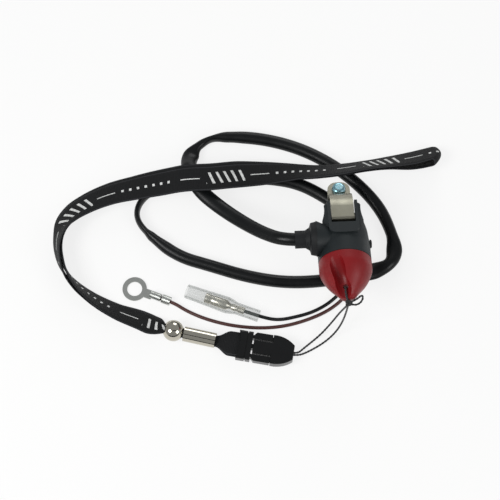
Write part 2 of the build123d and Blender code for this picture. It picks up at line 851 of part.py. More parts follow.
lanyard_webbing.part.label = "lanyard_webbing"
export_step(lanyard_webbing.part, "parts/lanyard_webbing.step")
print("lanyard_webbing one way", round(sum((b - a).length for a, b in zip(places, places[1:])), 1))

# Side release buckle: s runs from the plug's webbing end to the socket's string end
buckle_z = floor_z + buckle_h / 2
buckle_along = Vector(1, 0, 0).rotate(Axis.Z, buckle_turn)
buckle_origin = Vector(*buckle_start, buckle_z)
buckle_top = Plane(origin=buckle_origin, x_dir=buckle_along, z_dir=(0, 0, 1))
buckle_across = Plane(origin=buckle_origin, x_dir=Vector(0, 0, 1).cross(buckle_along), z_dir=buckle_along)
base_start = plug_block_end + plug_groove
base_end = base_start + plug_base
with BuildPart() as buckle_plug:
    for start, length in ((plug_start, plug_block_end - plug_start), (base_start, plug_base)):
        with BuildSketch(buckle_across.offset(start)):
            RectangleRounded(buckle_w, buckle_h, buckle_edge)
        extrude(amount=length)
    with BuildSketch(buckle_across.offset(plug_block_end)):
        RectangleRounded(buckle_w - 1, buckle_h - 1, buckle_edge)
    extrude(amount=plug_groove)
    with BuildSketch(buckle_across.offset(plug_start)):
        RectangleRounded(plug_mouth_w, plug_mouth_h, buckle_edge)
    extrude(amount=plug_mouth_depth, mode=Mode.SUBTRACT)
    # Hollow curve of the block's end, so that the webbing shows over the pin
    scoop_r = (plug_mouth_w**2 / 4 + plug_scoop**2) / (2 * plug_scoop)
    with BuildSketch(buckle_top):
        with Locations((plug_start + plug_scoop - scoop_r, 0)):
            Circle(scoop_r)
    extrude(amount=buckle_h, both=True, mode=Mode.SUBTRACT)
    pin_top = buckle_top.from_local_coords((bar_pin_s, 0, 0))
    with BuildSketch(Plane(origin=pin_top, x_dir=buckle_along, z_dir=buckle_across.x_dir)):
        Circle(bar_pin_d / 2)
    extrude(amount=buckle_w / 2 - 0.3, both=True)
    # Two spring arms whose pads are the buckle's sides, with hooked tips
    with BuildSketch(buckle_top):
        with BuildLine():
            Polyline(
                (base_end, arm_inner),
                (arm_reach + arm_tip, arm_inner),
                (arm_reach + arm_tip, arm_inner + arm_neck / 2),
                (arm_reach + running, arm_inner + 1.1 * arm_neck),
                (arm_reach - running, arm_inner + 1.2 * arm_neck),
                (arm_reach - running, buckle_w / 2),
                (socket_start + 1, buckle_w / 2),
                (base_end + 0.4, arm_inner + arm_neck),
                (base_end, arm_inner + arm_neck),
                close=True,
            )
        make_face()
        mirror(about=Plane.XZ)
        with Locations((base_end + tongue_length / 2, 0)):
            Rectangle(tongue_length, tongue_w)
    extrude(amount=arm_h / 2, both=True)
buckle_plug.part.label = "buckle_plug"
export_step(buckle_plug.part, "parts/buckle_plug.step")

# Socket half: a spine between the arms, then a hollow body with the string's hole
socket_end = arm_reach + socket_length - (arm_reach - socket_start)
with BuildPart() as buckle_socket:
    with BuildSketch(buckle_top):
        with BuildLine():
            spine = spine_w / 2
            side = buckle_w / 2
            tail = socket_end_w / 2
            Polyline(
                (arm_reach, side),
                (arm_reach, spine),
                (socket_start, spine),
                (socket_start, -spine),
                (arm_reach, -spine),
                (arm_reach, -side),
            )
            ThreePointArc((arm_reach, -side), ((arm_reach + socket_end) / 2 + 1, -0.87 * side), (socket_end, -tail))
            Line((socket_end, -tail), (socket_end, tail))
            ThreePointArc((socket_end, tail), ((arm_reach + socket_end) / 2 + 1, 0.87 * side), (arm_reach, side))
        make_face()
    extrude(amount=buckle_h / 2, both=True)
    fillet(buckle_socket.faces().sort_by(Axis.Z)[-1].edges(), buckle_edge / 2)
    fillet(buckle_socket.faces().sort_by(Axis.Z)[0].edges(), buckle_edge / 2)
    # Slots for the tongue and for the hooked arm tips
    with BuildSketch(buckle_across.offset(socket_start)):
        Rectangle(tongue_w + 2 * running, tongue_h + 2 * running + 1.4)
    extrude(amount=base_end + tongue_length + 1 - socket_start, mode=Mode.SUBTRACT)
    with BuildSketch(buckle_across.offset(arm_reach)):
        with Locations((arm_inner + 0.65 * arm_neck, 0), (-arm_inner - 0.65 * arm_neck, 0)):
            Rectangle(1.3 * arm_neck + 2 * running, arm_h + 2 * running)
    extrude(amount=arm_tip + running, mode=Mode.SUBTRACT)
    with BuildSketch(buckle_across.offset(socket_end)):
        Circle(string_hole_d / 2)
    extrude(amount=-string_hole_depth, mode=Mode.SUBTRACT)
buckle_socket.part.label = "buckle_socket"
export_step(buckle_socket.part, "parts/buckle_socket.step")

# Webbing loop round the plug's cross pin, its tails in the crimp tube
loop_inner = bar_pin_d / 2 + fit
loop_outer = loop_inner + webbing_thick
tube_end = tube_origin + tube_along * tube_length
tail_s = -(buckle_origin - tube_end).length - loop_tail
with BuildPart() as webbing_loop:
    with BuildSketch(Plane(origin=buckle_origin, x_dir=buckle_along, z_dir=buckle_across.x_dir)):
        with BuildLine():
            Polyline(
                (bar_pin_s, loop_outer),
                (tail_s + 2 * loop_tail, webbing_thick),
                (tail_s, webbing_thick),
                (tail_s, -webbing_thick),
                (tail_s + 2 * loop_tail, -webbing_thick),
                (bar_pin_s, -loop_outer),
            )
            ThreePointArc((bar_pin_s, -loop_outer), (bar_pin_s + loop_outer, 0), (bar_pin_s, loop_outer))
        make_face()
        with BuildLine():
            Polyline(
                (bar_pin_s, loop_inner),
                (tail_s + 3 * loop_tail, 0),
                (bar_pin_s, -loop_inner),
            )
            ThreePointArc((bar_pin_s, -loop_inner), (bar_pin_s + loop_inner, 0), (bar_pin_s, loop_inner))
        make_face(mode=Mode.SUBTRACT)
    extrude(amount=plug_mouth_w / 2 - 2 * running, both=True)
    with BuildSketch(buckle_top):
        with BuildLine():
            Polyline(
                (tail_s - 1, bunch_w / 2 + 0.4),
                (tail_s + 1.5 * loop_tail, bunch_w / 2 + 0.4),
                (-0.5, plug_mouth_w / 2),
                (bar_pin_s + 2 * loop_outer, plug_mouth_w / 2),
                (bar_pin_s + 2 * loop_outer, -plug_mouth_w / 2),
                (-0.5, -plug_mouth_w / 2),
                (tail_s + 1.5 * loop_tail, -bunch_w / 2 - 0.4),
                (tail_s - 1, -bunch_w / 2 - 0.4),
                close=True,
            )
        make_face()
    extrude(amount=buckle_h, both=True, mode=Mode.INTERSECT)
webbing_loop.part.label = "webbing_loop"
export_step(webbing_loop.part, "parts/webbing_loop.step")

# Tether string: two strands from the buckle to a knot at the nose, and a loop through the cap
string_gap = web_thick / 2 + string_d
knot_t = cap_back_t + cap_length + 1.8
knot_d = 2.6


def by_web(t, side):
    """Point t along the switch's axis and a distance out from the cap's web."""
    return toward_cap * t + web_side * side


knot = by_web(knot_t, 0)
hole_end = buckle_top.from_local_coords((socket_end - string_hole_depth + 0.2, 0, 0))
hole_out = buckle_top.from_local_coords((socket_end + 1, 0, 0))
beside = buckle_across.x_dir * (string_d / 2 + contact_gap)
strand_a = [
    hole_end + beside,
    hole_out + beside,
    Vector(-20.8, -58.5, -18.0),
    Vector(-12.4, -52.2, -18.4),
    Vector(-6.6, -47.2, -14.0),
    Vector(-2.6, -44.6, -3.0),
    knot - beside,
]
strand_b = [
    hole_end - beside,
    hole_out - beside,
    Vector(-18.8, -60.2, -18.4),
    Vector(-9.8, -55.4, -18.6),
    Vector(-3.6, -50.6, -14.5),
    Vector(-0.4, -46.4, -3.0),
    knot + beside,
]
tie_loop = [
    by_web(knot_t, string_d / 2),
    by_web(knot_t - 1.9, string_gap + 0.2),
    by_web(tie_t + 0.4, string_gap + 0.4),
    by_web(tie_t, 0),
    by_web(tie_t + 0.4, -string_gap - 0.4),
    by_web(knot_t - 1.9, -string_gap - 0.2),
    by_web(knot_t, -string_d / 2),
]
free_loop = [
    knot,
    knot + Vector(3.6, 1.6, -0.6),
    knot + Vector(6.6, 4.2, -1.2),
    knot + Vector(6.4, 1.2, -2.0),
    knot + Vector(3.4, -0.6, -1.6),
    knot + Vector(0, 0, -string_d / 2),
]
strings = (("a", strand_a), ("b", strand_b), ("tie", tie_loop), ("free", free_loop))
lengths = [cord("tether_string " + name, spots, string_d).part for name, spots in strings]
with BuildPart() as tether_string:
    with Locations(knot):
        Sphere(knot_d / 2)
    for length in lengths:
        add(length)
tether_string.part.label = "tether_string"
export_step(tether_string.part, "parts/tether_string.step")
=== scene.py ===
"""Looks of the handlebar kill switch: cap, housing, cable, wires, terminals, string, buckle and lanyard.

Sizes are in millimetres where nothing else is said. Every mesh is in metres, in the CAD model's frame.
"""

from __future__ import annotations

import json
import logging
import math
from collections.abc import Sequence
from dataclasses import dataclass
from enum import Enum

import bpy
import numpy as np
from mathutils import Matrix, Vector

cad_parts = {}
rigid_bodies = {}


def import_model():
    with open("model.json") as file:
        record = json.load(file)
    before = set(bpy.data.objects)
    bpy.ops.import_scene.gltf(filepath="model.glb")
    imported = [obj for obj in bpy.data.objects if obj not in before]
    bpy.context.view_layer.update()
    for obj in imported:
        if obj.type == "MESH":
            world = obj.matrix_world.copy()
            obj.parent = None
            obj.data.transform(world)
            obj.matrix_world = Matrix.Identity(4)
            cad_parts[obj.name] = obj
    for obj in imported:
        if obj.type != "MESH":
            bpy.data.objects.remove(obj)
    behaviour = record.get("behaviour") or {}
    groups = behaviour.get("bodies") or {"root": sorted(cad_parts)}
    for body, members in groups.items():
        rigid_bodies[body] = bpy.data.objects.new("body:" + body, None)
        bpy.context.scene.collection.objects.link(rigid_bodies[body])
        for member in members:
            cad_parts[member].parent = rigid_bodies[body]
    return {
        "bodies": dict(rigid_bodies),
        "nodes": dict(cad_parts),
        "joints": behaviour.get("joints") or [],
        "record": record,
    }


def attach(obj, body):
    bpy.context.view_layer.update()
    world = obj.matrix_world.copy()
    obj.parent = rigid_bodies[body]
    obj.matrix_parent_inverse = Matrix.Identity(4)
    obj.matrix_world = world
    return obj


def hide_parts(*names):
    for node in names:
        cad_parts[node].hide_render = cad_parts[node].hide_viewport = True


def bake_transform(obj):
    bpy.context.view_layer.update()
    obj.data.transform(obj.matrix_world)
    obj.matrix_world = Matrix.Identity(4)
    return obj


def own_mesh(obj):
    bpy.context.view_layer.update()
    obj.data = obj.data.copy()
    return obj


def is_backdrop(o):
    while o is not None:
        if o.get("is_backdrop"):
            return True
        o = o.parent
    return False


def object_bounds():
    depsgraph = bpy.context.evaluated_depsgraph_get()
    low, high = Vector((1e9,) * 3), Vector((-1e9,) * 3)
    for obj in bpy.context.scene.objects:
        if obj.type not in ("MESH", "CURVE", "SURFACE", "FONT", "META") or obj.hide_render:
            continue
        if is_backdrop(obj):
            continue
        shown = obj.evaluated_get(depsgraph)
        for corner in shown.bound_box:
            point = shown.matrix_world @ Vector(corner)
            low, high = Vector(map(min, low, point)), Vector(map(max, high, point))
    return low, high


log = logging.getLogger("kill_switch")
Spot = tuple[float, float, float]
Line = Sequence[Spot]
Outline = Sequence[tuple[float, float]]
Tree = bpy.types.NodeTree
Socket = bpy.types.NodeSocket

MM = 0.001
# The surface that the part lies on
FLOOR_Z = -19.2
# How far the switch's axis rises towards the cap
TILT_DEGREES = 14.0
# A turned piece shows an edge where its outline bends by more than this
SHARP_DEGREES = 30.0
# Noise values that a finish's gloss runs between, and the shares of its roughness there
GLOSS_FROM = (0.3, 0.7)
GLOSS_SHARE = (0.85, 1.2)
# Two-ply string: points round it, swelling as a share of its radius, and radii run for each radian of twist
PLY_SIDES = 14
PLY_SWELL = 0.13
PLY_TWIST = 1.1
# How squarely a webbing's section ends: a higher power is squarer
EDGE_POWER = 14
# Steps of a cord's line for each of its control points, and its round section's bevel resolution
CORD_STEPS = 12
CORD_ROUND = 8
# Where a clear wall's opacity starts to grow and where it is full, from 0, square on, to 1, edge-on
VEIL_FROM = (0.25, 0.95)
# Noise values that the print's wear runs between, and the shares of ink that it leaves there
WEAR_FROM = (0.35, 0.6)
INK_LEFT = (0.7, 0.97)


def linear(code: str) -> tuple[float, float, float, float]:
    """Turn an sRGB hex colour into linear red, green and blue, with full opacity.

    Args:
        code: Six hex digits.

    Returns:
        The four linear values.
    """
    parts = [int(code[i : i + 2], 16) / 255 for i in (0, 2, 4)]
    return (*[c / 12.92 if c <= 0.04045 else ((c + 0.055) / 1.055) ** 2.4 for c in parts], 1.0)


def add(tree: Tree, kind: str, inputs: dict | None = None, **settings) -> bpy.types.Node:
    """Add a node with its settings; an input is a plain value or another node's output socket.

    Args:
        tree: The node tree.
        kind: The node's type name.
        inputs: Input name or index to a value or socket.
        settings: Properties of the node itself.

    Returns:
        The new node.
    """
    made = tree.nodes.new(kind)
    for name, value in settings.items():
        setattr(made, name, value)
    for name, value in (inputs or {}).items():
        if isinstance(value, bpy.types.NodeSocket):
            tree.links.new(value, made.inputs[name])
        else:
            made.inputs[name].default_value = value
    return made


def fresh_material(name: str) -> tuple[bpy.types.Material, Tree]:
    """Start a material whose node tree is empty.

    Args:
        name: The material's name.

    Returns:
        The material and its node tree.
    """
    material = bpy.data.materials.new(name)
    material.use_nodes = True
    material.node_tree.nodes.clear()
    return material, material.node_tree


class Coords(Enum):
    """Where a finish takes its pattern's place from."""

    OBJECT = "Object"
    UV = "UV"


class Relief(Enum):
    """The kind of small relief that the making of a surface leaves."""

    GRAIN = "grain"
    TWISTED = "twisted"


@dataclass(frozen=True)
class Finish:
    """One finish: a base colour that wanders a little, a gloss that wanders with it, and a fine relief.

    Patches of patch_mm go from colour to worn. The relief has a grain of grain_mm and is depth_mm deep, and
    a stretch above 1 packs it closer along that axis, as brushing does. A clear wall has an alpha under 1,
    its opacity where it is seen square on, and rim is its opacity where it is seen edge-on.
    """

    name: str
    colour: str
    worn: str
    roughness: float
    metallic: float = 0.0
    ior: float = 1.5
    relief: Relief = Relief.GRAIN
    grain_mm: float = 0.3
    depth_mm: float = 0.01
    patch_mm: float = 6.0
    stretch: Spot = (1.0, 1.0, 1.0)
    sheen: float = 0.0
    alpha: float = 1.0
    rim: float = 1.0
    specular: float = 0.5
    coords: Coords = Coords.OBJECT

    def build(self) -> bpy.types.Material:
        """Make the material from soft patches of two colours, a gloss that follows them and the fine relief.

        Returns:
            The material.
        """
        material, tree = fresh_material(self.name)
        place = add(tree, "ShaderNodeTexCoord").outputs[self.coords.value]
        wander = {"Vector": place, "Scale": 1 / (self.patch_mm * MM), "Detail": 3.0, "Roughness": 0.55}
        patches = add(tree, "ShaderNodeTexNoise", wander).outputs["Fac"]
        tones = {"Factor": patches, "A": linear(self.colour), "B": linear(self.worn)}
        tone = add(tree, "ShaderNodeMix", tones, data_type="RGBA")
        spread = {
            "Value": patches,
            "From Min": GLOSS_FROM[0],
            "From Max": GLOSS_FROM[1],
            "To Min": self.roughness * GLOSS_SHARE[0],
            "To Max": min(1.0, self.roughness * GLOSS_SHARE[1]),
        }
        gloss = add(tree, "ShaderNodeMapRange", spread)
        raised = {"Strength": 1.0, "Distance": self.depth_mm * MM, "Height": self._height(tree, place)}
        bump = add(tree, "ShaderNodeBump", raised)
        surface = {
            "Base Color": tone.outputs["Result"],
            "Roughness": gloss.outputs["Result"],
            "Metallic": self.metallic,
            "Normal": bump.outputs["Normal"],
            "Sheen Weight": self.sheen,
            "Alpha": self._veil(tree),
            "Specular IOR Level": self.specular,
        }
        shader = add(tree, "ShaderNodeBsdfPrincipled", surface)
        if not self.metallic:
            shader.inputs["IOR"].default_value = self.ior
        add(tree, "ShaderNodeOutputMaterial", {"Surface": shader.outputs["BSDF"]})
        return material

    def _veil(self, tree: Tree) -> Socket | float:
        """Opacity: 1, or for a clear wall a value that grows from alpha to rim as the wall turns edge-on.

        Args:
            tree: The material's node tree.

        Returns:
            The opacity's socket, or 1.
        """
        if self.alpha == 1.0:
            return self.alpha
        turn = add(tree, "ShaderNodeLayerWeight", {"Blend": 0.5}).outputs["Facing"]
        grows = {
            "Value": turn,
            "From Min": VEIL_FROM[0],
            "From Max": VEIL_FROM[1],
            "To Min": self.alpha,
            "To Max": self.rim,
        }
        return add(tree, "ShaderNodeMapRange", grows).outputs["Result"]

    def _height(self, tree: Tree, place: Socket) -> Socket:
        """Height of the relief: slanted bands for a twist, else noise, drawn out along one way for brushing.

        Args:
            tree: The material's node tree.
            place: Where the pattern takes its place from.

        Returns:
            The height's socket.
        """
        scale = 1 / (self.grain_mm * MM)
        if self.relief is Relief.TWISTED:
            bands = {"Vector": place, "Scale": scale, "Distortion": 0.6, "Detail": 1.0}
            return add(tree, "ShaderNodeTexWave", bands, bands_direction="DIAGONAL").outputs["Fac"]
        mapped = add(tree, "ShaderNodeMapping", {"Vector": place, "Scale": self.stretch}).outputs["Vector"]
        grains = {"Vector": mapped, "Scale": scale, "Detail": 4.0, "Roughness": 0.6}
        return add(tree, "ShaderNodeTexNoise", grains).outputs["Fac"]


@dataclass(frozen=True)
class PrintedMark:
    """One mark of the webbing's printed row: a dash, or the bars or squares that it is cut into.

    Its middle and half length are shares of the repeat. Where it is cut up, half_ink is half the share of
    each pitch that is inked, and lean is how far a bar leans along the webbing for each step across it.
    """

    middle: float
    half_length: float
    half_height_mm: float
    half_ink: float = 0.0
    lean: float = 0.0


@dataclass(frozen=True)
class WovenBand:
    """Black polyester webbing: crossed ribs of yarn between two paler selvedges, and a printed row.

    The row is bold slanted bars, a long thin dash, a run of small squares and another dash, over and over.
    """

    name: str
    marks: tuple[PrintedMark, ...] = ()
    colour: str = "08090a"
    # Painted highlight on the raised yarn of the weave, which leaves its hollows in painted shade
    crest_highlight: str = "151618"
    selvedge: str = "2c2d30"
    ink: str = "e2e3e1"
    roughness: float = 0.72
    width_mm: float = 12.4
    depth_mm: float = 0.09
    # Real ribs are half as far apart; at that size they wouldn't show in the render
    rib_mm: float = 0.75
    warp_share: float = 0.8
    fuzz_mm: float = 0.35
    fuzz_share: float = 0.35
    selvedge_mm: float = 0.22
    selvedge_inset_mm: float = 0.45
    repeat_mm: float = 78.0
    cut_mm: float = 3.9
    wear_mm: float = 10 / 9

    def build(self) -> bpy.types.Material:
        """Make the weave from two crossed waves on the strip's own length and width, in metres.

        The tones lie one over another: a painted highlight where the weave stands up, the selvedges, then
        the ink.

        Returns:
            The material.
        """
        material, tree = fresh_material(self.name)
        place = add(tree, "ShaderNodeTexCoord").outputs["UV"]
        split = add(tree, "ShaderNodeSeparateXYZ", {"Vector": place})
        along, across = split.outputs["X"], split.outputs["Y"]
        weft = self._ripple(tree, along, self.rib_mm)
        warp = self._ripple(tree, across, self.rib_mm * self.warp_share)
        weave = add(tree, "ShaderNodeMath", {0: weft, 1: warp}, operation="MULTIPLY").outputs[0]
        hairs = {"Vector": place, "Scale": 1 / (self.fuzz_mm * MM), "Detail": 3.0}
        fuzz = add(tree, "ShaderNodeTexNoise", hairs).outputs["Fac"]
        fuzzy = {0: fuzz, 1: self.fuzz_share, 2: weave}
        height = add(tree, "ShaderNodeMath", fuzzy, operation="MULTIPLY_ADD").outputs[0]
        half = self.width_mm / 2
        border = add(tree, "ShaderNodeMath", {0: across, 1: half * MM}, operation="SUBTRACT").outputs[0]
        border = add(tree, "ShaderNodeMath", {0: border}, operation="ABSOLUTE").outputs[0]
        edge = self._within(tree, [(border, (half - self.selvedge_inset_mm) * MM, self.selvedge_mm * MM)])
        # Where the weave stands up it is painted lighter as a highlight and its hollows darker as shade,
        # with a random fuzz
        tones = [(height, self.crest_highlight), (edge, self.selvedge)]
        if self.marks:
            tones.append((self._printed(tree, along, across), self.ink))
        cloth = linear(self.colour)
        for share, tone in tones:
            laid = {"Factor": share, "A": cloth, "B": linear(tone)}
            cloth = add(tree, "ShaderNodeMix", laid, data_type="RGBA").outputs["Result"]
        raised = {"Strength": 1.0, "Distance": self.depth_mm * MM, "Height": height}
        bump = add(tree, "ShaderNodeBump", raised)
        surface = {
            "Base Color": cloth,
            "Roughness": self.roughness,
            "Normal": bump.outputs["Normal"],
            "Sheen Weight": 0.06,
            "Sheen Roughness": 0.4,
            "Specular IOR Level": 0.25,
        }
        shader = add(tree, "ShaderNodeBsdfPrincipled", surface)
        add(tree, "ShaderNodeOutputMaterial", {"Surface": shader.outputs["BSDF"]})
        return material

    def _ripple(self, tree: Tree, value: Socket, pitch_mm: float) -> Socket:
        """Ribs of the weave: half plus half the sine of the place over the pitch.

        Args:
            tree: The material's node tree.
            value: The place, in metres.
            pitch_mm: One rib's width.

        Returns:
            The ribs' height, from 0 to 1.
        """
        turning = {0: value, 1: 2 * math.pi / (pitch_mm * MM)}
        turns = add(tree, "ShaderNodeMath", turning, operation="MULTIPLY").outputs[0]
        wave = add(tree, "ShaderNodeMath", {0: turns}, operation="SINE").outputs[0]
        return add(tree, "ShaderNodeMath", {0: wave, 1: 0.5, 2: 0.5}, operation="MULTIPLY_ADD").outputs[0]

    def _repeat(self, tree: Tree, value: Socket, pitch_mm: float) -> Socket:
        """Place within one repeat: the fraction that is left of the place over the pitch.

        Args:
            tree: The material's node tree.
            value: The place, in metres.
            pitch_mm: One repeat's length.

        Returns:
            The place in its repeat, from 0 to 1.
        """
        over = {0: value, 1: 1 / (pitch_mm * MM)}
        scaled = add(tree, "ShaderNodeMath", over, operation="MULTIPLY").outputs[0]
        return add(tree, "ShaderNodeMath", {0: scaled}, operation="FRACT").outputs[0]

    def _within(self, tree: Tree, tests: list[tuple[Socket, float, float]]) -> Socket:
        """Product of tests: each is 1 where a value lies within a half of its middle, and else 0.

        Args:
            tree: The material's node tree.
            tests: A value, its middle and its half for each test.

        Returns:
            1 where every test holds.
        """
        held = None
        for value, middle, half in tests:
            near = {0: value, 1: middle, 2: half}
            test = add(tree, "ShaderNodeMath", near, operation="COMPARE").outputs[0]
            if held is not None:
                test = add(tree, "ShaderNodeMath", {0: held, 1: test}, operation="MULTIPLY").outputs[0]
            held = test
        return held

    def _printed(self, tree: Tree, along: Socket, across: Socket) -> Socket:
        """Share of ink: the most that any mark gives, thinned a little by wear.

        Args:
            tree: The material's node tree.
            along: The place along the strip, in metres.
            across: The place across it, in metres.

        Returns:
            The ink's share.
        """
        here = self._repeat(tree, along, self.repeat_mm)
        total = None
        for mark in self.marks:
            tests = [
                (here, mark.middle, mark.half_length),
                (across, self.width_mm * MM / 2, mark.half_height_mm * MM),
            ]
            if mark.half_ink:
                leaning = {0: across, 1: mark.lean, 2: along}
                slant = add(tree, "ShaderNodeMath", leaning, operation="MULTIPLY_ADD").outputs[0]
                tests.append((self._repeat(tree, slant, self.cut_mm), 0.5, mark.half_ink))
            inked = self._within(tree, tests)
            if total is not None:
                inked = add(tree, "ShaderNodeMath", {0: total, 1: inked}, operation="MAXIMUM").outputs[0]
            total = inked
        spot = add(tree, "ShaderNodeCombineXYZ", {"X": along, "Y": across}).outputs["Vector"]
        rubbed = {"Vector": spot, "Scale": 1 / (self.wear_mm * MM), "Detail": 2.0}
        worn = add(tree, "ShaderNodeTexNoise", rubbed).outputs["Fac"]
        left = {
            "Value": worn,
            "From Min": WEAR_FROM[0],
            "From Max": WEAR_FROM[1],
            "To Min": INK_LEFT[0],
            "To Max": INK_LEFT[1],
        }
        thin = add(tree, "ShaderNodeMapRange", left).outputs["Result"]
        return add(tree, "ShaderNodeMath", {0: total, 1: thin}, operation="MULTIPLY").outputs[0]


# Glass-filled nylon, injection moulded: matt near-black with a fine even grain
HOUSING_NYLON = Finish(
    "moulded_black_nylon", "1a1f21", "22282a", 0.5, grain_mm=0.22, depth_mm=0.012, specular=0.3
)
# The same nylon in a smoother mould: a shade darker and a little more even
LID_NYLON = Finish("moulded_black_nylon_lid", "181c1e", "202426", 0.48, grain_mm=0.25, specular=0.3)
# ABS, injection moulded in red: semi-gloss with a faint moulded texture
CAP_ABS = Finish(
    "moulded_red_abs", "8a171b", "781317", 0.4, ior=1.53, grain_mm=0.35, depth_mm=0.008, specular=0.28
)
# Stainless strip, brushed and pressed: lines round the strap, drawn coarser than real ones so that they show
STRAP_STEEL = Finish(
    "brushed_stainless", "9c9a8c", "858376", 0.36, 1.0, grain_mm=0.5, depth_mm=0.006, stretch=(6.0, 0.5, 0.5)
)
# Zinc plated steel, blue passivate: bright, with patches that turn from white to blue-green
SCREW_ZINC = Finish(
    "blue_zinc_plate", "c3cdd0", "2f9fb2", 0.28, 1.0, grain_mm=0.5, depth_mm=0.006, patch_mm=1.3
)
# Natural rubber, compression moulded: dull black with a bloom
GROMMET_RUBBER = Finish(
    "moulded_black_rubber", "0e1012", "16181a", 0.6, ior=1.52, depth_mm=0.02, specular=0.3
)
# Plasticised PVC, extruded: smooth black with a soft highlight, broken by the slow waves of a bent cable
SHEATH_PVC = Finish(
    "extruded_black_pvc", "0a0c0d", "121415", 0.34, ior=1.53, grain_mm=6.0, depth_mm=0.04, patch_mm=9,
    specular=0.22,
)
# Wire PVC, extruded: satin black, with ripples a little shorter than the wire is thick
WIRE_BLACK = Finish(
    "extruded_black_wire_pvc", "08090a", "101112", 0.38, ior=1.53, grain_mm=1.5, depth_mm=0.03, specular=0.3
)
# The same in brown: it catches more light, and looks reddish where it does
WIRE_BROWN = Finish(
    "extruded_brown_wire_pvc", "4f2a26", "432320", 0.4, ior=1.53, grain_mm=1.5, depth_mm=0.03
)
# Copper, stamped and tinned: bright, in cloudy patches drawn larger than real ones so that they show
TERMINAL_TIN = Finish(
    "tinned_copper", "dcdeda", "8d908b", 0.34, 1.0, grain_mm=2.0, depth_mm=0.004, patch_mm=4.5
)
# Brass, rolled and nickel plated: pale and warm, soft enough in gloss to stay calm behind its sleeve
SOCKET_NICKEL = Finish(
    "nickel_plated_brass", "e2dfd6", "c4bfb1", 0.34, 1.0, grain_mm=3.0, depth_mm=0.001, patch_mm=2
)
# Clear PVC, dip moulded: a thin grey-green veil with darker edges, whose wall bends no light that shows
CLEAR_PVC = Finish(
    "dipped_clear_pvc", "a3aaa5", "959c97", 0.12, ior=1.53, grain_mm=9.0, depth_mm=0.002, alpha=0.12, rim=0.6
)
# Nickel plate, polished: mirror-like and warm, with the slow unevenness that a buffing wheel leaves
POLISHED_NICKEL = Finish(
    "polished_nickel", "c9c5b9", "b9b4a6", 0.1, 1.0, grain_mm=2.5, depth_mm=0.003, patch_mm=3
)
# Nylon yarn, twisted: black with a soft sheen
STRING_NYLON = Finish(
    "twisted_nylon_string", "0e0f10", "1a1b1d", 0.6, relief=Relief.TWISTED, grain_mm=0.5, depth_mm=0.05,
    sheen=0.3, coords=Coords.UV,
)
# Acetal, injection moulded: deep black with a low gloss; the mould's spark texture is drawn coarser to show
BUCKLE_ACETAL = Finish(
    "moulded_black_acetal", "060708", "0c0d0e", 0.22, ior=1.48, grain_mm=0.8, specular=0.4
)
# Brass, turned: warm and bright
PIN_BRASS = Finish("turned_brass", "b08a4a", "94713a", 0.25, 1.0, depth_mm=0.006)
# Nylon without dye, injection moulded: the cream of the bare material
CARRIER_NYLON = Finish("natural_nylon", "cfc6ae", "c2b79c", 0.5, ior=1.53)
# Spring steel, drawn: grey, with the dull shine that the die leaves
SPRING_STEEL = Finish("drawn_spring_steel", "a7a7a2", "8d8d88", 0.3, 1.0, depth_mm=0.004)
# Sintered magnet or steel plate, nickel plated: a cool shine, faintly uneven from what is under the plate
MAGNET_NICKEL = Finish("nickel_plated_magnet", "c4c2bd", "aaa8a2", 0.2, 1.0, grain_mm=0.8, depth_mm=0.005)
# Polyester, woven and screen printed: black ribs that hardly shine, under white ink
LANYARD_WEBBING = WovenBand(
    "woven_black_polyester_printed",
    marks=(
        PrintedMark(0.16, 0.125, 2.9, half_ink=0.17, lean=0.3),
        PrintedMark(0.675, 0.175, 0.65, half_ink=0.16),
        PrintedMark(0.385, 0.06, 0.24),
        PrintedMark(0.935, 0.06, 0.24),
    ),
)
# The same webbing without its print
LOOP_WEBBING = WovenBand("woven_black_polyester_plain")


def unit(vectors: np.ndarray) -> np.ndarray:
    """Each vector over its own length."""
    return vectors / np.linalg.norm(vectors, axis=-1, keepdims=True)


def run_length(points: np.ndarray) -> np.ndarray:
    """Distance run at each point of a line: the sum of the steps before it."""
    steps = np.linalg.norm(np.diff(points, axis=0), axis=1)
    return np.concatenate([[0.0], np.cumsum(steps)])


def resample(points: np.ndarray, count: int) -> np.ndarray:
    """Space a line's points evenly, with straight steps between those read from the smooth curve.

    Args:
        points: The line.
        count: How many points it gets.

    Returns:
        The new points.
    """
    run = run_length(points)
    at = np.linspace(0, run[-1], count)
    return np.stack([np.interp(at, run, points[:, i]) for i in range(3)], axis=1)


def laid_out(run: np.ndarray, ring: np.ndarray) -> np.ndarray:
    """UV in metres: the distance run along a piece, by the place round or across its section."""
    return np.stack(np.broadcast_arrays(run[:, None], ring[None]), axis=-1)


def place_grid(
    name: str, grid: np.ndarray, uv: np.ndarray | None = None, caps: bool = True, loop: bool = False
) -> bpy.types.Object:
    """Make a tube's mesh from a grid of points: rows along the piece, columns round its closed section.

    Args:
        name: The piece's name.
        grid: Points in metres, rows by columns by three.
        uv: The place along and across for each point, rows by columns by two.
        caps: Whether both end rows are closed with a flat face.
        loop: Whether the last row joins the first.

    Returns:
        The new object, in the scene.
    """
    rows, cols = grid.shape[:2]
    index = np.arange(rows * cols).reshape(rows, cols)
    index = np.concatenate([index, index[:, :1]], axis=1)
    if loop:
        index = np.concatenate([index, index[:1]], axis=0)
    quads = np.stack([index[:-1, :-1], index[:-1, 1:], index[1:, 1:], index[1:, :-1]], axis=-1)
    faces = quads.reshape(-1, 4).tolist()
    if caps and not loop:
        faces += [list(range(cols))[::-1], list(range((rows - 1) * cols, rows * cols))]
    mesh = bpy.data.meshes.new(name)
    mesh.from_pydata(grid.reshape(-1, 3).tolist(), [], faces)
    mesh.polygons.foreach_set("use_smooth", [True] * len(mesh.polygons))
    if uv is not None:
        layer = mesh.uv_layers.new(name="UVMap")
        loops = np.zeros(len(mesh.loops), dtype=np.int32)
        mesh.loops.foreach_get("vertex_index", loops)
        layer.data.foreach_set("uv", uv.reshape(-1, 2)[loops].ravel())
    mesh.update()
    piece = bpy.data.objects.new(name, mesh)
    bpy.context.scene.collection.objects.link(piece)
    return outward(piece)


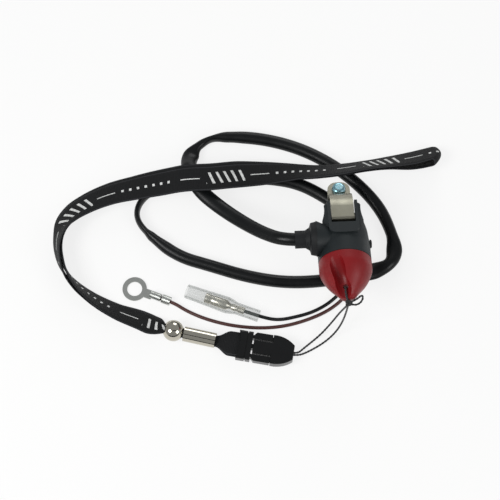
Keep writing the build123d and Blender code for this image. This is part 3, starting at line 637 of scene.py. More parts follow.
def outward(piece: bpy.types.Object) -> bpy.types.Object:
    """Turn a closed mesh the right way round when its signed volume, the sum of a . (b x c), is negative.

    Args:
        piece: The object with the mesh.

    Returns:
        The same object.
    """
    mesh = piece.data
    co = np.zeros(len(mesh.vertices) * 3)
    mesh.vertices.foreach_get("co", co)
    mesh.calc_loop_triangles()
    tris = np.zeros(len(mesh.loop_triangles) * 3, dtype=np.int32)
    mesh.loop_triangles.foreach_get("vertices", tris)
    a, b, c = (co.reshape(-1, 3)[tris.reshape(-1, 3)[:, i]] for i in range(3))
    if float(np.einsum("ij,ij->i", a, np.cross(b, c)).sum()) < 0:
        mesh.flip_normals()
    return piece


def turned(name: str, start: Spot, along: Vector, outline: Outline, sides: int) -> bpy.types.Object:
    """Solid of revolution: start, plus each outline point's distance along the line and its radius round it.

    Args:
        name: The piece's name.
        start: Where distance nought is, in mm.
        along: Unit direction of the line, which is level.
        outline: Closed outline as (distance, radius) points in mm.
        sides: Points round the circle.

    Returns:
        The new object.
    """
    points = np.array(outline, dtype=float)
    axis = np.array(along, dtype=float)
    side = unit(np.cross(axis, (0.0, 0.0, 1.0)))
    up = np.cross(axis, side)
    angles = np.linspace(0, 2 * math.pi, sides, endpoint=False)
    ring = np.cos(angles)[:, None] * side + np.sin(angles)[:, None] * up
    distance, radius = points[:, 0][None, :, None], points[:, 1][None, :, None]
    grid = np.array(start) + distance * axis + radius * ring[:, None]
    piece = place_grid(name, grid * MM, caps=False, loop=True)
    piece.data.set_sharp_from_angle(angle=math.radians(SHARP_DEGREES))
    return piece


def nurbs(name: str, spots: Line, diameter_mm: float) -> bpy.types.Object:
    """One open NURBS spline through a route's control points, with a round section.

    Args:
        name: The curve's name.
        spots: The control points in mm.
        diameter_mm: The section's diameter, or 0 for a bare line.

    Returns:
        The new object, in the scene.
    """
    data = bpy.data.curves.new(name, "CURVE")
    data.dimensions = "3D"
    spline = data.splines.new("NURBS")
    spline.points.add(len(spots) - 1)
    flat = np.array([(x * MM, y * MM, z * MM, 1.0) for x, y, z in spots]).ravel()
    spline.points.foreach_set("co", flat)
    spline.order_u = 3
    spline.use_endpoint_u = True
    data.resolution_u = CORD_STEPS
    data.bevel_depth = diameter_mm * MM / 2
    data.bevel_resolution = CORD_ROUND
    data.use_fill_caps = diameter_mm > 0
    curve = bpy.data.objects.new(name, data)
    bpy.context.scene.collection.objects.link(curve)
    bpy.context.view_layer.update()
    return curve


def smooth_line(spots: Line, count: int) -> np.ndarray:
    """Points read from the NURBS line of a route, as Blender gives them for a curve with no bevel.

    Args:
        spots: The route's control points in mm.
        count: How many points it gets, evenly spaced.

    Returns:
        The points in metres.
    """
    curve = nurbs("route", spots, 0.0)
    mesh = bpy.data.meshes.new_from_object(curve.evaluated_get(bpy.context.evaluated_depsgraph_get()))
    points = np.zeros(len(mesh.vertices) * 3)
    mesh.vertices.foreach_get("co", points)
    bpy.data.meshes.remove(mesh)
    bpy.data.objects.remove(curve)
    return resample(points.reshape(-1, 3), count)


def string_tube(
    name: str, points: np.ndarray, radius: float, reference: Spot, loop: bool = False
) -> bpy.types.Object:
    """Twisted two-ply string: its radius swells twice round the section, and the swelling turns along it.

    Args:
        name: The piece's name.
        points: The line it follows, in metres.
        radius: Mean radius in metres.
        reference: A direction that the line never follows.
        loop: Whether the line is closed.

    Returns:
        The new object.
    """
    tangents = unit(np.gradient(points, axis=0))
    if loop:
        tangents = unit(np.roll(points, -1, axis=0) - np.roll(points, 1, axis=0))
    side = unit(np.cross(tangents, reference))
    up = np.cross(tangents, side)
    run = run_length(points)
    angles = np.linspace(0, 2 * math.pi, PLY_SIDES, endpoint=False)
    twist = angles[None, :] - run[:, None] / (radius * PLY_TWIST)
    swell = radius * (1 + PLY_SWELL * np.cos(2 * twist))
    ring = np.cos(angles)[None, :, None] * side[:, None] + np.sin(angles)[None, :, None] * up[:, None]
    grid = points[:, None] + swell[..., None] * ring
    return place_grid(name, grid, laid_out(run, angles * radius), caps=not loop, loop=loop)


def flat_bar(
    spine: np.ndarray,
    across: np.ndarray,
    widths: np.ndarray,
    thick: float,
    v: np.ndarray,
    curl: np.ndarray | float = 0.0,
) -> np.ndarray:
    """Webbing's section along its spine: a flat bar that thins at its edges as the root of 1 - |v|^14.

    Args:
        spine: The middle line.
        across: Unit direction across the strip at each of its points.
        widths: The strip's width at each.
        thick: The strip's thickness.
        v: Places across the strip, from -1 to 1.
        curl: How far each point stands off the flat, rows by places.

    Returns:
        The grid: the top of the section and then its underside, going back.
    """
    normal = unit(np.cross(unit(np.gradient(spine, axis=0)), across))
    edge = np.sqrt(np.clip(1 - np.abs(v) ** EDGE_POWER, 0, 1)) * thick / 2
    flat = spine[:, None] + across[:, None] * (v[None] * widths[:, None] / 2)[..., None]
    top = flat + normal[:, None] * (curl + edge)[..., None]
    low = flat + normal[:, None] * (curl - edge)[..., None]
    return np.concatenate([top, low[:, ::-1]], axis=1)


def switch_axis() -> Vector:
    """Unit direction of the switch's axis, towards the cap."""
    angle = math.radians(TILT_DEGREES)
    return Vector((0.0, -math.cos(angle), math.sin(angle)))


def fit_piece(piece: bpy.types.Object, finish: Finish | WovenBand, body: str, node: str) -> None:
    """Dress a piece, let it ride on a body, and hide the CAD node that it stands for.

    Args:
        piece: The piece.
        finish: Its finish.
        body: The body that it rides on.
        node: The CAD node that it replaces.
    """
    piece.data.materials.append(finish.build())
    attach(piece, body)
    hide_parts(node)


@dataclass
class Cable:
    """Sheath from the grommet, and the two wires that leave its far end."""

    sheath_d: float = 6.2
    wire_d: float = 1.7
    # Lengths, in metres
    sheath_length: float = 0.504
    black_length: float = 0.0735
    brown_length: float = 0.1187
    sheath_rows: int = 640
    sheath_sides: int = 28
    sheath_route: Line = (
        (-18.0, -12.57, 9.32), (-27.5, -12.57, 9.32), (-36.8, -6.6, 2.2), (-46.5, 1.6, -4.2),
        (-57.5, 11.6, -9.0), (-67.5, 21.4, -9.59), (-71.9, 32.0, -9.59), (-72.4, 39.2, -13.4),
        (-69.0, 46.3, -16.1), (-61.0, 51.2, -16.1), (-50.0, 51.4, -16.1), (-33.9, 49.3, -16.1),
        (-16.7, 43.6, -16.1), (-1.0, 34.2, -16.1), (11.5, 22.9, -16.1), (20.8, 10.5, -16.1),
        (25.4, -2.0, -16.1), (26.8, -11.0, -16.1), (24.4, -18.4, -16.1), (16.5, -21.6, -16.1),
        (1.4, -24.4, -16.1), (-14.0, -26.0, -16.1), (-30.1, -25.4, -16.1), (-47.0, -21.6, -16.1),
        (-64.0, -15.4, -16.1), (-78.0, -10.6, -16.1), (-90.0, -1.2, -16.1), (-97.6, 7.0, -16.1),
        (-99.0, 14.5, -16.1), (-94.5, 22.0, -16.1), (-84.0, 27.3, -16.1), (-70.0, 28.8, -16.1),
        (-52.0, 29.6, -16.1), (-34.0, 28.6, -16.1), (-18.7, 25.3, -16.1), (-6.0, 17.6, -16.1),
        (4.6, 8.6, -16.1), (9.4, -1.0, -16.1), (9.0, -9.5, -16.1), (7.2, -14.4, -16.1),
    )
    # x, y, half width and half height where the sheath is pressed out of round
    squeezed: Sequence[tuple[float, float, float, float]] = (
        (-71.9, 33.0, 3.8, 2.3), (-71.0, 41.5, 4.1, 1.6), (-66.6, 48.0, 2.1, 2.5), (-61.0, 51.0, 1.5, 2.9),
        (-52.0, 51.6, 2.7, 3.0), (-42.0, 50.6, 3.1, 3.1), (20.0, 12.0, 3.1, 3.1), (25.4, -3.0, 2.8, 3.1),
        (26.0, -11.5, 3.9, 2.4), (23.6, -18.6, 3.1, 2.8), (15.0, -21.8, 4.1, 2.2), (2.0, -24.2, 3.1, 3.1),
        (-84.0, -6.6, 3.0, 3.1), (-91.0, 0.2, 2.3, 3.1), (-94.5, 3.6, 1.5, 3.0), (-98.6, 12.0, 1.4, 3.0),
        (-94.0, 22.5, 1.6, 3.0), (-80.0, 28.0, 3.1, 3.1),
    )
    black_route: Line = (
        (6.36, -14.09, -16.1), (5.48, -16.48, -16.1), (4.2, -20.4, -11.3), (2.2, -27.2, -11.3),
        (-1.0, -31.6, -16.65), (-7.6, -36.8, -18.35), (-15.5, -40.6, -18.35), (-23.0, -42.4, -18.35),
        (-31.4, -44.0, -17.4), (-38.85, -43.15, -15.1), (-47.91, -39.43, -15.1),
    )
    brown_route: Line = (
        (8.04, -14.71, -16.1), (7.17, -17.1, -16.1), (6.4, -21.0, -11.3), (4.4, -28.4, -11.3),
        (0.6, -34.4, -16.99), (-7.6, -40.2, -18.35), (-18.2, -44.4, -18.35), (-29.4, -47.0, -18.35),
        (-41.0, -47.4, -18.35), (-54.0, -45.6, -18.35), (-66.0, -42.0, -18.35), (-75.5, -37.4, -18.35),
        (-81.72, -33.24, -17.0), (-87.77, -30.59, -17.0),
    )

    def build(self, frame: dict) -> list[bpy.types.Object]:
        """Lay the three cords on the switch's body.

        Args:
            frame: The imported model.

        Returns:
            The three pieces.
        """
        sheath, line = self._sheath()
        fit_piece(sheath, SHEATH_PVC, "switch", "lead_sheath")
        pieces = [sheath]
        on_black = ["bullet_terminal", "clear_sleeve"]
        on_brown = [frame["nodes"]["ring_terminal"]]
        for colour, finish, route, length, far_end, with_pieces in (
            ("black", WIRE_BLACK, self.black_route, self.black_length, "connector", on_black),
            ("brown", WIRE_BROWN, self.brown_route, self.brown_length, "fitting", on_brown),
        ):
            wire = nurbs(f"{colour}_wire", route, self.wire_d)
            fit_piece(wire, finish, "switch", f"wire_{colour}")
            pieces.append(wire)
        return pieces

    def _sheath(self) -> tuple[bpy.types.Object, np.ndarray]:
        """Oval tube: an ellipse, half width times cosine by half height times sine, along the smooth line.

        The halves go from one squeezed place to the next by the step u^2 (3 - 2u), and the underside stays
        where the round tube's would be.

        Returns:
            The piece, and the line that it follows in metres.
        """
        line = smooth_line(self.sheath_route, self.sheath_rows)
        run = run_length(line)
        round_r = self.sheath_d * MM / 2
        pressed = np.array(self.squeezed) * MM
        apart = np.linalg.norm(line[None, :, :2] - pressed[:, None, :2], axis=2)
        knots = np.concatenate([[run[0]], run[np.argmin(apart, axis=1)], [run[-1]]])
        table = np.concatenate([[[round_r, round_r]], pressed[:, 2:], [[round_r, round_r]]])
        cell = np.clip(np.searchsorted(knots, run, side="right") - 1, 0, len(knots) - 2)
        u = (run - knots[cell]) / (knots[cell + 1] - knots[cell])
        step = (u * u * (3 - 2 * u))[:, None]
        half_w, half_h = (table[cell] * (1 - step) + table[cell + 1] * step).T
        line[:, 2] -= round_r - half_h
        along = unit(np.gradient(line, axis=0))
        level = unit(np.cross((0.0, 0.0, 1.0), along))
        rise = np.cross(along, level)
        angle = np.linspace(0, 2 * math.pi, self.sheath_sides, endpoint=False)
        wide = (half_w[:, None] * np.cos(angle))[..., None] * level[:, None]
        high = (half_h[:, None] * np.sin(angle))[..., None] * rise[:, None]
        grid = line[:, None] + wide + high
        return place_grid("cable_sheath", grid, laid_out(run, angle * round_r)), line


@dataclass
class BulletConnector:
    """Bullet socket crimped on the black wire, in its clear push-over sleeve.

    Both outlines are (distance from the sleeve's mouth, radius) points.
    """

    mouth: Spot = (-75.3, -28.2, -15.1)
    turn_degrees: float = -22.3
    sides: int = 72
    sleeve_outline: Outline = (
        (0.0, 2.8), (0.0, 3.25), (0.25, 3.42), (1.2, 3.45), (6.0, 3.55), (13.0, 3.75), (18.5, 3.95),
        (20.2, 4.0), (21.4, 3.92), (23.6, 3.4), (25.2, 2.97), (26.2, 2.88), (31.0, 2.85), (36.6, 2.9),
        (37.0, 2.8), (37.0, 2.35), (26.4, 2.3), (25.0, 2.4), (21.2, 3.3), (20.0, 3.4), (13.0, 3.15),
        (0.3, 2.85),
    )
    socket_outline: Outline = (
        (18.6, 0.02), (18.6, 1.95), (9.75, 1.95), (9.6, 2.1), (9.6, 2.3), (9.8, 2.45), (12.2, 2.45),
        (12.6, 2.3), (13.4, 2.3), (13.8, 2.45), (20.4, 2.45), (21.2, 2.0), (21.8, 1.5), (22.8, 1.3),
        (23.6, 1.62), (25.2, 1.65), (25.6, 1.4), (26.2, 1.4), (26.6, 1.65), (29.4, 1.65), (29.6, 1.5),
        (29.6, 0.02),
    )

    def build(self) -> list[bpy.types.Object]:
        """Turn the sleeve and the socket about the connector's line.

        Returns:
            The two pieces.
        """
        angle = math.radians(self.turn_degrees)
        along = Vector((math.cos(angle), math.sin(angle), 0.0))
        sleeve = turned("clear_sleeve", self.mouth, along, self.sleeve_outline, self.sides)
        fit_piece(sleeve, CLEAR_PVC, "switch", "bullet_sleeve")
        socket = turned("bullet_terminal", self.mouth, along, self.socket_outline, self.sides)
        fit_piece(socket, SOCKET_NICKEL, "switch", "bullet_socket")
        return [sleeve, socket]


@dataclass
class Tether:
    """Two strands from the buckle to a knot at the nose, a tie through the cap and a small free loop."""

    diameter: float = 0.9
    web_turn_degrees: float = 24.0
    # The knot's place along the switch's axis, its size, and its height for each step of that
    knot_t: float = 46.4
    knot_size: float = 0.45
    knot_height: float = 1.2
    # The tie's places along the switch's axis and out from the web that it goes through, and where it ends
    tie_route: Outline = ((44.5, 2.7), (39.0, 2.9), (38.6, 0.0), (39.0, -2.9), (44.5, -2.7))
    tie_end: Spot = (0.0, 0.0, -0.4)
    strand_rows: int = 260
    knot_rows: int = 180
    tie_rows: int = 110
    loop_rows: int = 90
    # Two rows of a strand, one counted from its start and one from its end
    bends: tuple[int, int] = (20, -4)
    # Lengths, in metres
    strand_lengths: tuple[float, float] = (0.0545, 0.0566)
    # Each strand's control points up to the knot, and how far from the knot's middle it ends
    strand_routes: tuple[tuple[Line, Spot], ...] = (
        (
            (
                (-28.68, -60.26, -16.0), (-23.8, -61.32, -16.0), (-20.8, -58.5, -18.0),
                (-12.4, -52.2, -18.4), (-6.6, -47.2, -14.0), (-2.6, -44.6, -3.0),
            ),
            (-0.1, -0.5, 0.0),
        ),
        (
            (
                (-28.89, -61.23, -16.0), (-24.01, -62.29, -16.0), (-18.8, -60.2, -18.4),
                (-9.8, -55.4, -18.6), (-3.6, -50.6, -14.5), (-0.4, -46.4, -3.0),
            ),
            (0.1, 0.5, 0.0),
        ),
    )
    # Control points of the free loop, from the knot's middle
    loop_route: Line = (
        (0.0, 0.0, 0.0), (3.6, 1.6, -0.6), (6.6, 4.2, -1.2), (7.0, 2.4, -1.8), (5.4, 0.2, -2.0),
        (2.6, -0.8, -1.4), (0.0, 0.0, -0.5),
    )

    @property
    def web_side(self) -> Vector:
        """Square to the web between the cap's two grooves."""
        side = switch_axis().cross(Vector((1.0, 0.0, 0.0)))
        return Matrix.Rotation(math.radians(self.web_turn_degrees), 3, switch_axis()) @ side

    def by_web(self, t: float, side: float) -> Spot:
        """Point t along the axis and a distance out from the web."""
        return tuple(switch_axis() * t + self.web_side * side)

    def build(self) -> list[bpy.types.Object]:
        """Make the strands, and the knot and loops, which ride on the cap.

        Returns:
            The five pieces.
        """
        radius = self.diameter * MM / 2
        knot = np.array(self.by_web(self.knot_t, 0.0))
        cloth = STRING_NYLON.build()
        strands = []
        for name, (route, end) in zip(("string_upper", "string_lower"), self.strand_routes):
            line = smooth_line([*route, tuple(knot + end)], self.strand_rows)
            strand = string_tube(name, line, radius, (0.6, 0.75, 0.25))
            strand.data.materials.append(cloth)
            strands.append((strand, line))
        ties = self._knot_and_loops(knot, radius)
        for piece in ties:
            piece.data.materials.append(cloth)
            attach(piece, "cap")
        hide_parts("tether_string")
        for (strand, line), length in zip(strands, self.strand_lengths):
            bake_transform(strand)
        return [strand for strand, _ in strands] + ties

    def _knot_and_loops(self, knot: np.ndarray, radius: float) -> list[bpy.types.Object]:
        """The knot is a trefoil: a circle wound twice round a ring while it turns three times across it.

        Args:
            knot: The knot's middle, in mm.
            radius: The string's radius, in metres.

        Returns:
            The knot, the tie through the cap and the free loop.
        """
        t = np.linspace(0, 2 * math.pi, self.knot_rows, endpoint=False)
        out, high = 2 + np.cos(3 * t), self.knot_height * np.sin(3 * t)
        trefoil = np.stack([out * np.cos(2 * t), out * np.sin(2 * t), high], axis=1)
        line = (knot + trefoil * self.knot_size) * MM
        turns = string_tube("string_knot", line, radius, (0.05, 0.05, 1.0), loop=True)
        through = [self.by_web(place, side) for place, side in self.tie_route]
        tie = smooth_line([tuple(knot), *through, tuple(knot + self.tie_end)], self.tie_rows)
        tie_tube = string_tube("string_tie", tie, radius, (1.0, 0.1, 0.1))
        free = smooth_line([tuple(knot + spot) for spot in self.loop_route], self.loop_rows)
        free_tube = string_tube("string_free_loop", free, radius, (0.05, 0.1, 1.0))
        return [turns, tie_tube, free_tube]


@dataclass
class ContactSpring:
    """Spring under the contact plate, inside the drum, drawn at one length though the contact's travel
    presses it together.
    """

    turns: int = 4
    radius: float = 2.3
    wire: float = 0.5
    # Places along the switch's axis
    ends: tuple[float, float] = (16.3, 21.95)
    travel: float = 1.3
    steps: int = 48
    sides: int = 12

    def build(self) -> list[bpy.types.Object]:
        """Carry a circle along a helix: a spoke that turns evenly while its place runs along the axis.

        Returns:
            The one piece.
        """
        turn = np.linspace(0, 2 * math.pi * self.turns, self.turns * self.steps)
        axis = np.array(switch_axis())
        side = np.array((1.0, 0.0, 0.0))
        first, last = self.ends
        place = np.linspace(first, last, len(turn))
        spoke = np.cos(turn)[:, None] * side + np.sin(turn)[:, None] * np.cross(axis, side)
        centre = place[:, None] * axis + spoke * self.radius
        angle = np.linspace(0, 2 * math.pi, self.sides, endpoint=False)
        ring = np.cos(angle)[None, :, None] * spoke[:, None] + np.sin(angle)[None, :, None] * axis
        coil = place_grid("contact_coil", (centre[:, None] + self.wire / 2 * ring) * MM)
        fit_piece(coil, SPRING_STEEL, "switch", "contact_spring")
        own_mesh(coil)
        return [coil]


@dataclass
class Lanyard:
    """Webbing in two layers from the crimp tube to the far fold.

    It is narrow where it enters the bead, and turns about its own length on its way. At the far end one
    layer goes over into the other round the fold, whose tip leans back towards one edge.
    """

    width: float = 12.4
    thick: float = 0.95
    fold_radius: float = 2.4
    fold_steps: int = 14
    # Rows from the fold's middle to where its direction is taken
    fold_rows: int = 30
    tip_lean: float = 5.5
    tip_length: float = 14.0
    tip_power: float = 1.6
    # Place across the strip, from -1 to 1, where the tip reaches furthest
    tip_place: float = -0.4
    # How far the strip stands up in its middle, for each share of its width that it has lost
    curl: float = 0.8
    rows: int = 460
    points_across: int = 13
    floor_gap: float = 0.02
    # x, y, z, width, roll, slip of the layers across each other, half the distance between them
    stations: Sequence[tuple[float, ...]] = (
        (-75.3, -49.7, -15.0, 4.4, 0, 0.0, 0.75), (-82.2, -47.85, -14.1, 4.4, 0, 0.0, 0.75),
        (-86.5, -46.7, -13.9, 4.8, 4, 0.3, 0.7), (-88.4, -46.0, -14.2, 7.8, 14, 0.8, 0.6),
        (-91.8, -44.6, -15.1, 11.6, 27, 1.4, 0.56), (-97.2, -41.9, -15.3, 12.4, 31, 1.6, 0.56),
        (-109.4, -36.8, -14.9, 12.4, 40, 1.3, 0.56), (-121.5, -29.4, -13.9, 12.4, 57, 0.9, 0.6),
        (-127.4, -24.4, -13.3, 12.4, 69, 0.6, 0.68), (-131.9, -19.0, -12.9, 12.4, 82, 0.3, 0.76),
        (-135.0, -12.5, -12.7, 12.4, 97, -0.4, 0.76), (-136.6, -5.5, -12.7, 12.4, 108, -1.0, 0.66),
        (-136.5, 1.3, -12.8, 12.4, 121, -1.6, 0.56), (-134.2, 8.4, -13.0, 12.4, 140, -2.0, 0.56),
        (-129.2, 14.2, -13.6, 12.4, 151, -2.1, 0.56), (-122.9, 18.2, -14.0, 12.4, 156, -2.1, 0.56),
        (-111.0, 22.6, -13.2, 12.4, 163, -2.1, 0.56), (-98.0, 24.4, -10.8, 12.4, 170, -2.1, 0.56),
        (-84.0, 25.8, -8.2, 12.4, 178, -2.1, 0.56), (-75.0, 25.9, -4.9, 12.4, 180, -2.1, 0.56),
        (-61.0, 26.2, -4.9, 12.4, 180, -2.1, 0.56), (-49.0, 28.2, -8.4, 12.4, 180, -2.1, 0.56),
        (-36.0, 29.2, -11.0, 12.4, 170, -1.8, 0.56), (-21.0, 29.0, -10.6, 12.4, 153, -1.4, 0.56),
        (-9.0, 27.6, -7.9, 12.4, 141, -1.0, 0.56), (3.0, 28.0, -7.2, 12.4, 136, -0.8, 0.56),
        (14.0, 29.8, -8.6, 12.4, 133, -0.5, 0.56), (25.0, 31.9, -11.5, 12.4, 136, -0.3, 0.7),
        (38.0, 33.4, -13.1, 12.4, 141, 0.0, 1.5), (50.4, 35.7, -13.1, 12.4, 140, 0.0, 1.9),
    )

    def _between(self, count: int) -> np.ndarray:
        """Smooth values between the stations, by cubic steps whose slopes are central differences.

        Args:
            count: How many rows it gets, evenly spaced along the stations.

        Returns:
            The stations' values at each row.
        """
        table = np.array(self.stations)
        run = run_length(table[:, :3])
        slope = np.gradient(table, run, axis=0)
        at = np.linspace(0, run[-1], count)
        cell = np.clip(np.searchsorted(run, at, side="right") - 1, 0, len(run) - 2)
        gap = (run[cell + 1] - run[cell])[:, None]
        u = ((at - run[cell]) / gap[:, 0])[:, None]
        return (
            (2 * u**3 - 3 * u**2 + 1) * table[cell]
            + (u**3 - 2 * u**2 + u) * gap * slope[cell]
            + (3 * u**2 - 2 * u**3) * table[cell + 1]
            + (u**3 - u**2) * gap * slope[cell + 1]
        )

    def build(self) -> list[bpy.types.Object]:
        """Carry the section out along one layer, round the fold and back along the other.

        The direction across the strip is the level one turned by the roll, and each layer stands half the
        distance off the middle line along the strip's face. The fold is half an ellipse between them.

        Returns:
            The one piece.
        """
        values = self._between(self.rows)
        centre, width, roll = values[:, :3], values[:, 3], np.radians(values[:, 4])
        slip, half = values[:, 5], values[:, 6]
        along = unit(np.gradient(centre, axis=0))
        level = unit(np.cross((0.0, 0.0, 1.0), along))
        rise = np.cross(along, level)
        wide = np.cos(roll)[:, None] * level + np.sin(roll)[:, None] * rise
        offset = np.cross(along, wide) * half[:, None] + wide * (slip / 2)[:, None]
        out, back = centre + offset, centre - offset
        turn = np.linspace(0, math.pi, self.fold_steps)[1:-1]
        reach = np.sin(turn)[:, None] * along[-1] * self.fold_radius
        bend = centre[-1] + np.cos(turn)[:, None] * offset[-1] + reach
        spine = np.concatenate([out, bend, back[::-1]])
        across = np.concatenate([wide, np.repeat(wide[-1:], len(turn), axis=0), wide[::-1]])
        widths = np.concatenate([width, np.repeat(width[-1:], len(turn)), width[::-1]])
        return [self._strip(spine, across, widths)]

    def _strip(self, spine: np.ndarray, across: np.ndarray, widths: np.ndarray) -> bpy.types.Object:
        """Make the strip: a flat rounded bar that curls into a shallow arc across itself where it is narrow.

        The arc is 1 - v^2 of its height. Near the fold each point lags behind by the square of its distance
        from tip_place, more so the nearer its row is to the fold, and no row goes below the floor.

        Args:
            spine: The strip's middle line, in mm.
            across: Unit direction across the strip at each of its points.
            widths: Its width at each.

        Returns:
            The piece.
        """
        v = np.linspace(-1, 1, self.points_across)
        squeeze = np.clip(1 - widths / self.width, 0, 1)
        curl = squeeze[:, None] * self.curl * (1 - v[None] ** 2)
        grid = flat_bar(spine, across, widths, self.thick, v, curl)
        fold = len(spine) // 2
        ahead = unit(spine[fold] - (spine[fold - self.fold_rows] + spine[self.fold_rows - 1 - fold]) / 2)
        near = np.clip(1 + (spine - spine[fold]) @ ahead / self.tip_length, 0, 1) ** self.tip_power
        lag = ((np.concatenate([v, v[::-1]]) - self.tip_place) / (1 - self.tip_place)) ** 2
        grid -= (near[:, None] * lag[None])[..., None] * self.tip_lean * ahead
        grid[..., 2] += np.maximum(0, FLOOR_Z + self.floor_gap - grid[..., 2].min(axis=1))[:, None]
        run = run_length(spine) * MM
        place = (v + 1) / 2 * self.width * MM
        uv = laid_out(run, np.concatenate([place, place[::-1]]))
        strip = place_grid("lanyard_strip", grid * MM, uv)
        strip.data.materials.append(LANYARD_WEBBING.build())
        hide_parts("lanyard_webbing")
        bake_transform(strip)
        log.info("webbing is %.0f mm long in all", run[-1] / MM)
        return strip


@dataclass
class EndLoop:
    """Short webbing loop from the crimp tube round the buckle's cross pin.

    Distances s run from start, in the buckle, along its line: tail_s is in the tube and pin_s at the pin.
    """

    start: Spot = (-53.8, -55.2, -16.0)
    turn_degrees: float = -12.2
    pin_s: float = 3.5
    tail_s: float = -10.6
    inner: float = 1.0
    thick: float = 0.95
    tail_gap: float = 0.06
    tail_width: float = 5.2
    width: float = 11.6
    # Where the strip starts to widen, and over what length
    widen_s: float = -8.4
    widen_length: float = 6.6
    points_across: int = 11
    rows: int = 40
    pin_steps: int = 20
    # How soon the two layers part on their way to the pin: under 1 is sooner
    part_power: float = 0.7

    def build(self) -> list[bpy.types.Object]:
        """Out along the top, a half circle round the pin and back below, wider at the pin than in the tube.

        The layers part as a power of the distance from the tail. The width grows by the step u^2 (3 - 2u).

        Returns:
            The one piece.
        """
        angle = math.radians(self.turn_degrees)
        along = np.array([math.cos(angle), math.sin(angle), 0.0])
        side = np.array([-math.sin(angle), math.cos(angle), 0.0])
        up = np.array([0.0, 0.0, 1.0])
        middle = self.inner + self.thick / 2
        low = self.thick / 2 + self.tail_gap
        s = np.linspace(self.tail_s, self.pin_s, self.rows)
        swell = np.clip((s - self.tail_s) / (self.pin_s - self.tail_s), 0, 1)
        height = low + (middle - low) * swell**self.part_power
        turn = np.linspace(math.pi / 2, -math.pi / 2, self.pin_steps)[1:-1]
        path_s = np.concatenate([s, self.pin_s + middle * np.cos(turn), s[::-1]])
        path_h = np.concatenate([height, middle * np.sin(turn), -height[::-1]])
        growth = np.clip((path_s - self.widen_s) / self.widen_length, 0, 1)
        widths = self.tail_width + (self.width - self.tail_width) * (growth * growth * (3 - 2 * growth))
        spine = np.array(self.start) + path_s[:, None] * along + path_h[:, None] * up
        v = np.linspace(-1, 1, self.points_across)
        grid = flat_bar(spine, np.broadcast_to(side, spine.shape), widths, self.thick, v)
        run = run_length(spine) * MM
        place = (v + 1) / 2 * self.width * MM
        band = place_grid("buckle_loop", grid * MM, laid_out(run, np.concatenate([place, place[::-1]])))
        fit_piece(band, LOOP_WEBBING, "lanyard", "webbing_loop")
        return [band]


